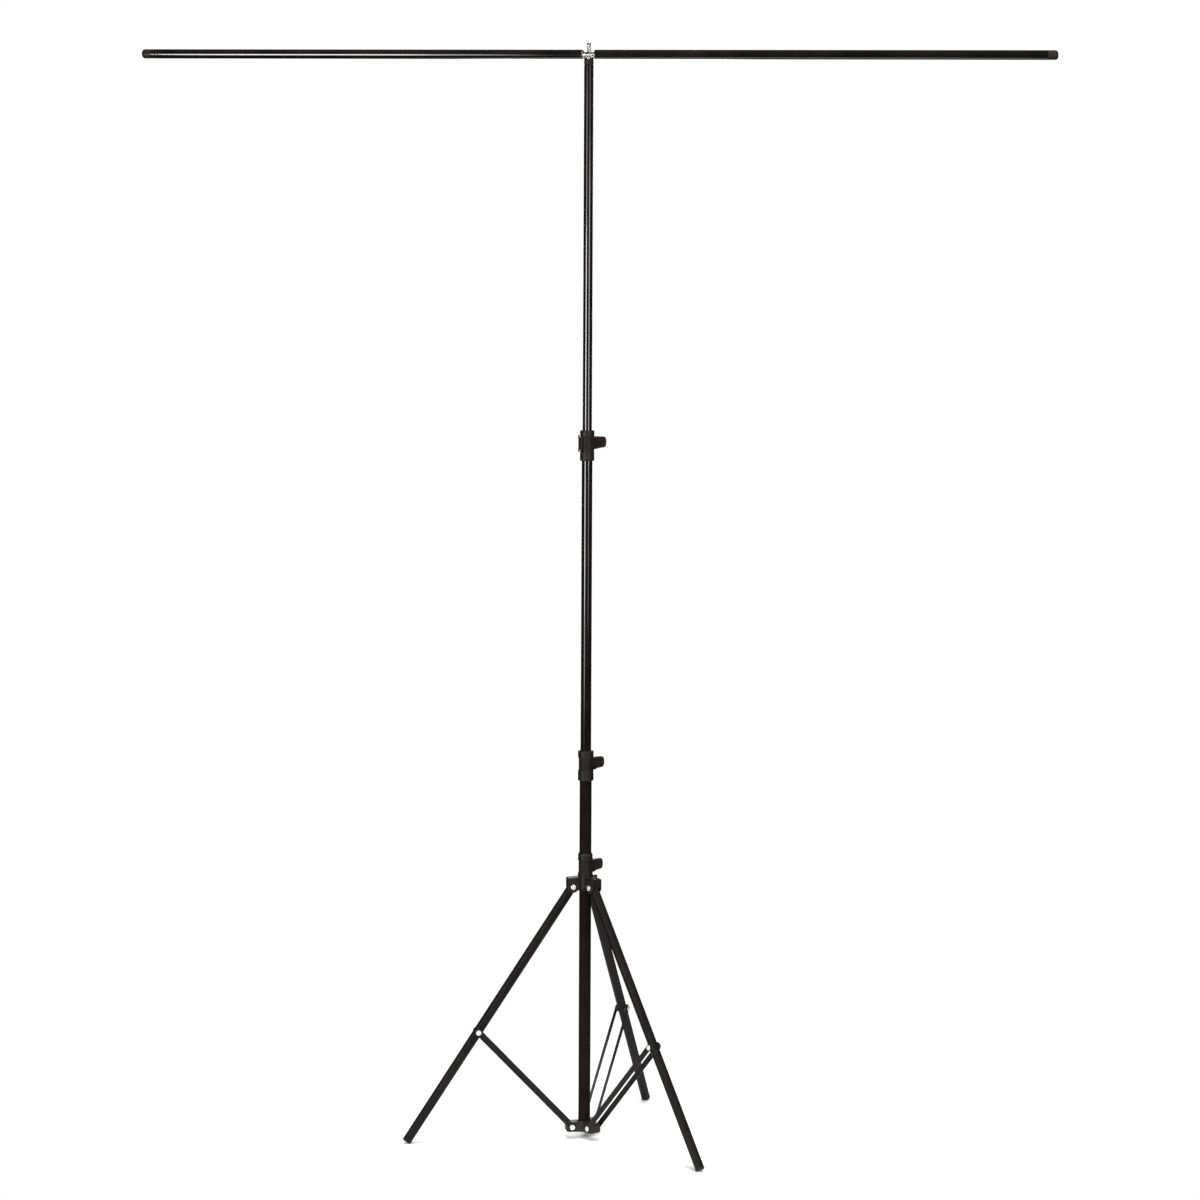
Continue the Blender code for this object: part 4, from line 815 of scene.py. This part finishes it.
def knob_surface(start):
    """A thumb paddle: sections along X are |y/w|^(1/a) + |z/h|^(1/b) = 1.

    Half height h falls evenly and half width w as a sine from root to tip, and both shrink as an ellipse at
    the tip. The flat sides are hollowed inside a rim, by a smooth step in |z/h| times smooth steps along the
    knob. A thin parting line stands out where y is nearly 0.
    """
    tip_length = 1 - KNOB_TIP_START
    share = np.concatenate([
        np.linspace(0, KNOB_ROOT_END, 5), np.linspace(0.08, KNOB_TIP_START, 34),
        1 - tip_length * np.cos(np.linspace(0.03, math.pi / 2, 22))])[:, None]
    angle = ring_angles(KNOB_SIDES)
    tip = np.maximum(0, (share - KNOB_TIP_START) / tip_length)
    root = np.maximum(0, (KNOB_ROOT_END - share) / KNOB_ROOT_END)
    drop = np.sqrt(1 - (KNOB_TIP_SHRINK * tip) ** 2) * (1 - KNOB_ROOT_SHRINK * root)
    (root_high, tip_high), (root_wide, tip_wide) = KNOB_HALF_HEIGHTS, KNOB_HALF_WIDTHS
    high = (root_high + (tip_high - root_high) * share) * drop
    wide = (root_wide + (tip_wide - root_wide) * np.sin(share * math.pi / 2)) * drop
    hollow = HOLLOW_SHALLOW + HOLLOW_DEEPER * stepped(share, *HOLLOW_MIDDLE)
    hollow = hollow * stepped(share, *HOLLOW_START) * stepped(share, *HOLLOW_END)
    c, s = np.cos(angle), np.sin(angle)
    z = high * np.copysign(np.abs(s) ** KNOB_POWER_HIGH, s)
    y = wide * np.copysign(np.abs(c) ** KNOB_POWER_WIDE, c)
    y = y * (1 - hollow * stepped(np.abs(z / high), *HOLLOW_EDGE))
    seam = 1 - PARTING_PROUD * np.clip((np.abs(y) - PARTING_HALF) / PARTING_SLOPE, 0, 1)
    grid = np.stack([start + share * KNOB_LENGTH + 0 * angle, y * KNOB_SLIMMING, z * seam], -1)
    return skin(with_poles(grid, [1, 0, 0]))


def screw_surface(start, end):
    """A threaded rod along Z: radius R - depth * |2 frac(z / pitch - a / 2 pi) - 1|, plain near both ends."""
    z = np.linspace(start, end, THREAD_ROWS)[:, None]
    angle = ring_angles(SCREW_SIDES)
    saw = np.abs(2 * np.mod(z / THREAD_PITCH - angle / (2 * math.pi), 1) - 1)
    fade = np.clip((z - start) / THREAD_START, 0, 1) * np.clip((end - z) / THREAD_END, 0, 1)
    radius = SCREW_R - THREAD_DEPTH * (saw * fade + (1 - fade) * THREAD_PLAIN)
    return skin(with_poles(rings(radius, z, angle), [0, 0, 1]))


def knobs():
    """On each clamp, the knob with its pocket and its screw, whose end stands off the tube by the pad."""
    start = BLOCK_REACH + GAP
    end = start + SCREW_IN_KNOB
    for key, tube_radius in (("hub", BASE_R), ("lower", MID_R), ("upper", TOP_R)):
        place = turned_about("Z", KNOB_AZIMUTHS[key]) @ moved(0, 0, KNOB_HEIGHTS[key])
        lie = turned_about("Y", 90)
        body = key + "_knob_body"
        knob = add_piece(key + "_knob_moulding", knob_surface(start), KNOB_PLASTIC, body, key + "_knob",
                         "plastic", place, sharp=50.0)
        cut_holes(knob, [(place @ moved(start, 0, 0) @ lie, SCREW_R + GAP, SCREW_IN_KNOB + GAP)])
        thread = screw_surface(tube_radius + GAP + PAD_THICKNESS + GAP, end)
        add_piece(key + "_screw_thread", thread, ZINC, body, key + "_screw", "zinc", place @ lie, sharp=70.0)


# Legs, feet, washers, struts and rivets
def leg_surface():
    """A tube along -Z whose upper end is a round nose: it ends at height sqrt(R^2 - x^2) at each side.

    A row is its radius, 1 at the nose or 0 at the lower end, and its distance above that end.
    """
    end = -(LEG_LENGTH - FOOT_FLANGE - GAP)
    inner = LEG_R - WALL
    rows = [(LEG_R - SOFT_RIM, 1, 0), (LEG_R, 1, -SOFT_RIM), (LEG_R, 1, -NEAR_RIM), (LEG_R, 0, NEAR_RIM),
            (LEG_R, 0, SOFT_RIM), (LEG_R - SOFT_RIM, 0, 0), (inner + SOFT_RIM, 0, 0), (inner, 0, SOFT_RIM),
            (inner, 0, NEAR_RIM), (inner, 1, -NEAR_RIM), (inner, 1, -SOFT_RIM), (inner + SOFT_RIM, 1, 0)]
    radius, nosed, lift = (np.array(column)[:, None] for column in zip(*rows))
    angle = ring_angles(TUBE_SIDES)
    nose = np.sqrt(np.maximum(0, LEG_R ** 2 - (radius * np.cos(angle)) ** 2))
    return skin(rings(radius, nosed * nose + (1 - nosed) * end + lift, angle), wrap_rows=True)


def foot_surface():
    """Foot plug: flange with a rounded rim, shallow tread rings underneath and a stem in the tube."""
    stem = LEG_R - WALL - GAP
    end = -LEG_LENGTH
    top = end + FOOT_FLANGE
    corners = [(0, end)]
    for inner, outer in TREAD_RINGS:
        corners += [(inner, end), (inner + TREAD_SLOPE, end + TREAD_DEPTH),
                    (outer - TREAD_SLOPE, end + TREAD_DEPTH), (outer, end)]
    corners += [(FOOT_R - FOOT_ROUND, end), (FOOT_R, end + FOOT_ROUND), (FOOT_R, top), (stem, top),
                (stem, top + FOOT_STEM), (0, top + FOOT_STEM)]
    radii = [0] + [TREAD_EDGE] * 4 * len(TREAD_RINGS) + [0.0012, 0.0012, 0.0003, 0.0001, 0.001, 0]
    return turned(rounded(corners, radii, 4))


def saddle_surface():
    """A washer along Z: its lower face follows the leg, at height sqrt((R + gap)^2 - x^2)."""
    top = LEG_R + GAP + SADDLE_THICKNESS
    on_leg = 0
    rows = [(SADDLE_R, on_leg), (SADDLE_R, top - SOFT_RIM), (SADDLE_R - SOFT_RIM, top),
            (RIVET_HOLE + SOFT_RIM, top), (RIVET_HOLE, top - SOFT_RIM), (RIVET_HOLE, on_leg)]
    radius, height = (np.array(column)[:, None] for column in zip(*rows))
    angle = ring_angles(SMALL_SIDES)
    leg = np.sqrt((LEG_R + GAP) ** 2 - (radius * np.cos(angle)) ** 2)
    return skin(rings(radius, np.where(height == on_leg, leg, height), angle), wrap_rows=True)


def strut_surface(side):
    """A flat bar in the X-Z plane: a stadium whose points are c(s) + rho w n(s).

    c runs along the line between its rivets and n points outward. The outer face sinks by the groove's depth
    times a smooth step of the distance from the groove's own middle line, and the inner face stays flat.
    """
    half = STRUT_WIDTH / 2
    turns = np.linspace(0, math.pi, 25)
    near = (GROOVE_START - GROOVE_WIDTH) / STRUT_LENGTH + np.linspace(0, 0.03, 12)
    runs = STRUT_LENGTH * np.unique(np.concatenate([np.linspace(0, 1, 21), near, 1 - near]))[1:-1]
    middle = np.concatenate([0 * turns, -runs, 0 * turns - STRUT_LENGTH, -runs[::-1]])
    nx = np.concatenate([np.cos(turns), 0 * runs - 1, np.cos(turns + math.pi), 0 * runs + 1])
    nz = np.concatenate([np.sin(turns), 0 * runs, np.sin(turns + math.pi), 0 * runs])
    rho = np.concatenate([np.linspace(0, 0.42, 13), [0.6, 0.8, 0.96]])
    edge = BAR_EDGE * np.array([0, 0.3, 1])
    face = np.concatenate([rho * half, half - edge[::-1]])[:, None]
    sink = np.concatenate([0 * rho, edge])[:, None]
    x, z = face * nx, middle + face * nz
    away = np.hypot(x, z - np.clip(z, GROOVE_START - STRUT_LENGTH, -GROOVE_START))
    depth = GROOVE_DEPTH * GROOVE_RELIEF * stepped(away, GROOVE_WIDTH / 2 + GROOVE_SLOPE / 3, -GROOVE_SLOPE)
    thick = STRUT_THICKNESS / 2
    outer = np.stack([x, side * (thick - sink - depth), z], -1)
    inner = np.stack([x, -side * (thick - sink) + 0 * x, z], -1)[::-1]
    return skin(np.concatenate([outer, inner]) + [0, side * STRUT_MIDDLE, 0])


def rivet_head_rows(seat, side):
    """Rows of a domed head: height H (1 - (r / R)^3)^(1/2), less a dimple of depth D (1 - (r / d)^2)^2."""
    radius = RIVET_HEAD_R * np.sin(np.linspace(math.pi / 2, 0, 26))
    dome = (RIVET_HEAD_H - RIVET_EDGE) * np.sqrt(1 - (radius / RIVET_HEAD_R) ** 3)
    dimple = DIMPLE_DEPTH * np.clip(1 - (radius / DIMPLE_R) ** 2, 0, 1) ** 2
    heights = seat + side * (RIVET_EDGE * (radius < RIVET_HEAD_R) + dome - dimple)
    return [(RIVET_HEAD_R - RIVET_BEVEL, seat)] + list(zip(radius, heights))


def through_rivet_surface(half_grip):
    """A rivet along Z with a head at each end."""
    seat = half_grip + GAP
    shank = [(RIVET_R, -seat), (RIVET_R, seat)]
    return turned(rivet_head_rows(-seat, -1)[::-1] + shank + rivet_head_rows(seat, 1), SMALL_SIDES)


def half_rivet_surface(seat, depth):
    """A head with the part of its shank that stays in one bar of a strut."""
    end = seat - depth
    shank = [(0, end), (RIVET_R - RIVET_BEVEL, end), (RIVET_R, end + RIVET_BEVEL), (RIVET_R, seat + GAP)]
    return turned(shank + rivet_head_rows(seat + GAP, 1), SMALL_SIDES)


def folding_base():
    """For each leg its tube, foot and rivets, and its strut's two bars with their washers and half rivets."""
    for name, azimuth in LEG_AZIMUTHS.items():
        turn = turned_about("Z", azimuth)
        pivot = turn @ moved(PIVOT_R, 0, LEG_PIVOT_Z) @ Matrix.Rotation(-LEG_ANGLE, 4, "Y")
        knee = pivot @ moved(0, 0, -LEG_TO_STRUT)
        strut = knee @ Matrix.Rotation(LEG_ANGLE + STRUT_ANGLE, 4, "Y")
        leg_paint = finish(name + "_leg_satin_black", PAINTED, 0.000010,
                           turn=along_axis(pivot.to_3x3() @ Vector((0, 0, 1))), **SATIN)
        bar_paint = finish(name + "_strut_black_steel", PAINTED, 0.000006,
                           turn=along_axis(strut.to_3x3() @ Vector((0, 0, 1))), **STEEL_PAINT)
        leg_body, strut_body = name + "_leg_body", name + "_strut_body"
        leg = add_piece(name + "_leg_tube", leg_surface(), leg_paint, leg_body, name + "_leg", "satin_black",
                        pivot)
        across_leg = LEG_R + DRILL_PAST_LEG
        cut_holes(leg, [(pivot @ along_y(0, z), RIVET_HOLE, across_leg) for z in (0, -LEG_TO_STRUT)])
        add_piece(name + "_foot_plug", foot_surface(), RUBBER, leg_body, name + "_foot", "rubber", pivot)
        add_piece(name + "_leg_rivet_turned", through_rivet_surface(STRUT_OUTER), NICKEL, leg_body,
                  name + "_leg_rivet", "nickel", knee @ along_y(0, 0))
        add_piece(name + "_hub_rivet_turned", through_rivet_surface(EAR_HALF), NICKEL, "sliding_hub",
                  name + "_hub_rivet", "nickel", turn @ along_y(PIVOT_R, LEG_PIVOT_Z))
        for key, side in (("a", 1.0), ("b", -1.0)):
            lean = turned_about("X", -90 * side)
            add_piece(f"{name}_washer_{key}_saddle", saddle_surface(), NYLON, leg_body,
                      f"{name}_washer_{key}", "nylon", knee @ lean)
            bar = add_piece(f"{name}_strut_{key}_bar", strut_surface(side), bar_paint, strut_body,
                            f"{name}_strut_{key}", "black_steel", strut)
            reach = strut @ moved(0, side * STRUT_MIDDLE, 0)
            cut_holes(bar, [(reach @ along_y(0, z), RIVET_HOLE, DRILL_IN_BAR) for z in (0, -STRUT_LENGTH)])
            end = strut @ moved(0, 0, -STRUT_LENGTH) @ lean
            add_piece(f"{name}_strut_rivet_{key}_turned", half_rivet_surface(STRUT_OUTER, STRUT_THICKNESS),
                      NICKEL, strut_body, f"{name}_strut_rivet_{key}", "nickel", end)


# Head and crossbar
def stud_surface():
    """The stud along Z: a stem in the plug, a shoulder in its groove, a waist and a rounded top."""
    foot = PLUG_FLOOR - STUD_IN_PLUG
    shoulder = PLUG_FLOOR + GAP
    top = BAR_Z + LINK_FLAT_HEIGHT / 2 + STUD_HEAD
    waist = top - WAIST_DROP
    low, high = waist - WAIST_HALF, waist + WAIST_HALF
    corners = [(0, foot), (STUD_R, foot), (STUD_R, shoulder), (STUD_SHOULDER_R, shoulder),
               (STUD_SHOULDER_R, PLUG_TOP - STUD_BEVEL), (STUD_SHOULDER_R - STUD_BEVEL, PLUG_TOP),
               (STUD_R, PLUG_TOP), (STUD_R, low - FLARE_BELOW), (STUD_WAIST_R, low), (STUD_WAIST_R, high),
               (STUD_R, high + FLARE_ABOVE), (STUD_R, top), (0, top)]
    radii = [0, 0.0005, 0.0002, 0.0003, 0.0004, 0.0004, 0.0002, 0.0014, 0.0014, 0.0014, 0.0014, 0.0028, 0]
    return turned(rounded(corners, radii, 7), SMALL_SIDES)


def link_surface():
    """A tube along X, pressed flat in its middle.

    Its section is |y/w|^p + |z/h|^p = 1, with w, h and p eased from flat to round, and its ends have a lip.
    """
    end = ARM_START + LINK_INSERTION
    span = np.concatenate([np.linspace(LINK_FLAT_HALF, ARM_START, 15),
                           np.linspace(ARM_START + 0.001, end - LIP_LENGTH, 12), [end]])
    flat = np.linspace(-LINK_FLAT_HALF, LINK_FLAT_HALF, 13)[1:-1]
    place = np.concatenate([-span[::-1], flat, span])[:, None]
    ease = eased((np.abs(place) - LINK_FLAT_HALF) / (ARM_START - LINK_FLAT_HALF) * LINK_FLARE)
    radius = ARM_R - ARM_WALL - GAP
    low = LINK_FLAT_HEIGHT / 2
    broad = low + math.pi * (radius - low) / 2
    angle = ring_angles(SMALL_SIDES * 2)
    c, s = np.cos(angle), np.sin(angle)
    power = 2 / (3 - ease)
    shells = []
    for wall, lip in ((0.0, SOFT_RIM), (LINK_WALL, -SOFT_RIM)):
        thinner = wall + lip * (np.abs(place) > end - LIP_LENGTH / 2)
        y = (broad + (radius - broad) * ease - thinner) * np.copysign(np.abs(c) ** power, c)
        z = (low + (radius - low) * ease - thinner) * np.copysign(np.abs(s) ** power, s)
        shells.append(np.stack([place + 0 * angle, y, z], -1))
    return skin(np.concatenate([shells[0], shells[1][::-1]]), wrap_rows=True)


def arm_surface():
    """A tube along Z: radius R less a depth times exp(-d^2 / r^2) at two punch marks over the cap's stem."""
    end = BAR_HALF - CAP_LENGTH - GAP
    inner = ARM_R - ARM_WALL
    start = [ARM_START, ARM_START + SOFT_RIM, ARM_START + 2 * SOFT_RIM]
    dense = np.linspace(end - PUNCHED_FROM, end - PUNCHED_TO, 66)
    outer_z = np.concatenate([start, np.linspace(0.1, 0.9, 9), dense, [end - SOFT_RIM, end]])
    outer_r = np.concatenate([[ARM_R - SOFT_RIM], np.full(len(outer_z) - 2, ARM_R), [ARM_R - SOFT_RIM]])
    z = np.concatenate([outer_z, [end, end - SOFT_RIM, ARM_START + SOFT_RIM, ARM_START]])[:, None]
    radius = np.concatenate([outer_r, [inner + SOFT_RIM, inner, inner, inner + SOFT_RIM]])[:, None]
    angle = ring_angles(TUBE_SIDES)
    around = ARM_R * (angle - PUNCHED_SIDE)
    dent = sum(np.exp(-(around ** 2 + (z - end + mark) ** 2) / PUNCH_R ** 2) for mark in PUNCH_MARKS)
    radius = radius - PUNCH_DEPTH * dent * (radius > ARM_R - ARM_WALL / 2)
    return skin(rings(radius, z, angle), wrap_rows=True)


def cap_surface():
    """End cap: a plug with a rounded end as wide as the arm, a shallow dish in it and a stem inside."""
    seat = BAR_HALF - CAP_LENGTH
    stem = ARM_R - ARM_WALL - GAP
    dish = BAR_HALF - DISH_DEPTH
    corners = [(0, seat - CAP_STEM), (stem, seat - CAP_STEM), (stem, seat), (ARM_R, seat),
               (ARM_R, BAR_HALF - CAP_SHOULDER), (ARM_R * CAP_SLOPE_SHARE, BAR_HALF - CAP_SLOPE),
               (ARM_R * CAP_FACE_SHARE, BAR_HALF), (DISH_R, BAR_HALF), (DISH_FLOOR_R, dish), (0, dish)]
    radii = [0, 0.001, 0.0001, 0.0004, 0.0050, 0.0030, 0.0020, 0.0008, 0.0008, 0]
    return turned(rounded(corners, radii, 6))


def head():
    """The stud, the link that drops over it, and on each side an arm with its end cap."""
    swivel = moved(0, 0, BAR_Z) @ turned_about("Z", BAR_AZIMUTH)
    add_piece("head_stud_turned", stud_surface(), CHROME, "top_section", "head_stud", "chrome")
    link = add_piece("crossbar_link", link_surface(), LINK_PLATE, "crossbar_centre", "crossbar_connector",
                     "chrome", swivel)
    cut_holes(link, [(swivel, STUD_R + LINK_HOLE_PLAY, 2 * ARM_R)])
    for name, flip in (("right", 90), ("left", -90)):
        lie = swivel @ turned_about("Y", flip)
        body = name + "_arm_body"
        add_piece(name + "_arm_tube", arm_surface(), ARM_PAINT, body, name + "_arm", "gloss_black", lie)
        add_piece(name + "_arm_end", cap_surface(), PLASTIC, body, name + "_arm_cap", "plastic", lie)


def dress_hidden_nodes():
    """Finishes for the frame's own solids that stay: bushes, threaded inserts and pads."""
    finishes = {"mid_tube_bush": NYLON, "top_tube_bush": NYLON}
    for key in KNOB_HEIGHTS:
        finishes[key + "_insert"] = finishes[key + "_pad"] = BRASS
    for name, mat in finishes.items():
        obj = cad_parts[name]
        if not obj.data.materials:
            obj.data.materials.append(mat)
        for slot in obj.material_slots:
            slot.link = "OBJECT"
            slot.material = mat


# Studio
# The camera's place in metres and degrees, its turns in radians, its focal length in pixels of its frame
CAMERA = dict(distance=9.1607, azimuth=-99.056, height=2.2184, yaw=-0.00318, pitch=-0.11246, roll=0.0048,
              focal=4274.5, frame=1200.0)
SENSOR_WIDTH, VIEW_END = 36.0, 60.0
FLOOR_RADII = (0.0, 0.4, 0.8, 1.2)
FLOOR_FADE = (0.50, 1.15)
LOW_LAMPS_END, HIGH_AIM = 3.0, 1.6
# Lamps round the stand: degrees from the camera's side, distance, height, width, length and power
LAMPS = {
    "left_softbox": (-42.5, 3.29, 1.35, 0.80, 1.10, 27.0),
    "left_upper_box": (-42.5, 3.22, 1.62, 0.80, 0.55, 9.0),
    "left_fill": (-40.0, 3.36, 1.40, 1.00, 1.80, 19.0),
    "left_outer_fill": (-39.5, 3.42, 1.55, 1.10, 2.00, 9.0),
    "right_softbox": (34.0, 3.31, 1.65, 1.10, 0.90, 16.5),
    "right_fill": (34.0, 3.38, 1.60, 1.10, 1.70, 11.0),
    "high_softbox": (38.0, 2.60, 4.40, 1.40, 1.40, 30.0),
    "rear_softbox": (180.0, 3.60, 1.50, 0.80, 2.10, 30.0)}
# Lamps that light but don't show in reflections: toward the camera, right, height, aim height, size and power
FILLS = {
    "front_fill": (5.0, 1.2, 2.2, 1.0, 3.0, 290.0),
    "top_softbox": (0.6, -0.2, 4.2, 0.6, 2.2, 165.0)}


def camera():
    """A camera at the photograph's viewing angle; its right, up and forward axes come from its angles."""
    c = CAMERA
    azimuth = math.radians(c["azimuth"])
    place = Vector((c["distance"] * math.cos(azimuth), c["distance"] * math.sin(azimuth), c["height"]))
    heading = azimuth + math.pi + c["yaw"]
    level = Vector((math.cos(heading), math.sin(heading), 0))
    forward = level * math.cos(c["pitch"]) + Vector((0, 0, math.sin(c["pitch"])))
    right = Vector((math.sin(heading), -math.cos(heading), 0))
    up = right.cross(forward)
    tilt_right = right * math.cos(c["roll"]) + up * math.sin(c["roll"])
    tilt_up = up * math.cos(c["roll"]) - right * math.sin(c["roll"])
    lens = bpy.data.cameras.new("camera")
    lens.sensor_width = SENSOR_WIDTH
    lens.lens = c["focal"] * SENSOR_WIDTH / c["frame"]
    lens.clip_end = VIEW_END
    eye = new_object("camera", lens)
    eye.matrix_world = Matrix((tilt_right, tilt_up, -forward)).transposed().to_4x4()
    eye.location = place
    bpy.context.scene.camera = eye
    return level, right


def softbox(name, place, target, width, height, power):
    """A rectangular lamp that looks at a point and that the camera doesn't see."""
    lamp = bpy.data.lights.new(name, "AREA")
    lamp.shape = "RECTANGLE"
    lamp.size, lamp.size_y = width, height
    lamp.energy = power
    obj = new_object(name, lamp)
    obj.location = place
    obj.rotation_euler = (Vector(target) - Vector(place)).to_track_quat("-Z", "Y").to_euler()
    obj.visible_camera = False
    return obj


def floor():
    """A pale round floor that fades out into the white surroundings."""
    mat = bpy.data.materials.new("pale_floor")
    mat.use_nodes = True
    tree = mat.node_tree
    shader = tree.nodes["Principled BSDF"]
    shader.inputs["Roughness"].default_value = 0.9
    shader.inputs["Specular IOR Level"].default_value = 0.1
    places = tree.nodes.new("ShaderNodeTexCoord").outputs["Object"]
    reach = tree.nodes.new("ShaderNodeVectorMath")
    reach.operation = "LENGTH"
    tree.links.new(places, reach.inputs[0])
    tree.links.new(range_node(tree, reach.outputs["Value"], *FLOOR_FADE, 1.0, 0.0), shader.inputs["Alpha"])
    mottle = mix_colours(tree, noise_node(tree, places, 3.0, 4.0), (0.94, 0.94, 0.935), (0.96, 0.96, 0.955))
    tree.links.new(mottle, shader.inputs["Base Color"])
    mesh = make_mesh("floor", *turned([(radius, 0) for radius in FLOOR_RADII]))
    if mesh.polygons[0].normal.z < 0:
        mesh.flip_normals()
    mesh.materials.append(mat)
    new_object("floor", mesh)


def surroundings(seen, lit):
    """White behind the object, and a dimmer grey for what the surfaces mirror and are lit by."""
    world = bpy.data.worlds.new("studio")
    world.use_nodes = True
    tree = world.node_tree
    back = tree.nodes["Background"]
    path = tree.nodes.new("ShaderNodeLightPath")
    level = range_node(tree, path.outputs["Is Camera Ray"], 0.0, 1.0, lit, seen)
    tree.links.new(level, back.inputs["Strength"])
    back.inputs["Color"].default_value = (1.0, 1.0, 1.0, 1.0)
    bpy.context.scene.world = world


def studio():
    """The camera, white surroundings, soft lamps placed from the camera's side, and the floor."""
    level, right = camera()
    toward = -level
    surroundings(seen=1.0, lit=0.03)
    for name, (side, away, height, wide, long, power) in LAMPS.items():
        turn = math.radians(side)
        lift = Vector((0, 0, height))
        aim = lift if height < LOW_LAMPS_END else Vector((0, 0, HIGH_AIM))
        round_stand = (toward * math.cos(turn) + right * math.sin(turn)) * away
        softbox(name, round_stand + lift, aim, wide, long, power)
    for name, (near, aside, height, aim, size, power) in FILLS.items():
        place = toward * near + right * aside + Vector((0, 0, height))
        softbox(name, place, (0, 0, aim), size, size, power).visible_glossy = False
    floor()
    view = bpy.context.scene.view_settings
    view.view_transform = "Standard"
    view.look = "None"


column()
mouldings()
knobs()
folding_base()
head()
dress_hidden_nodes()
studio()
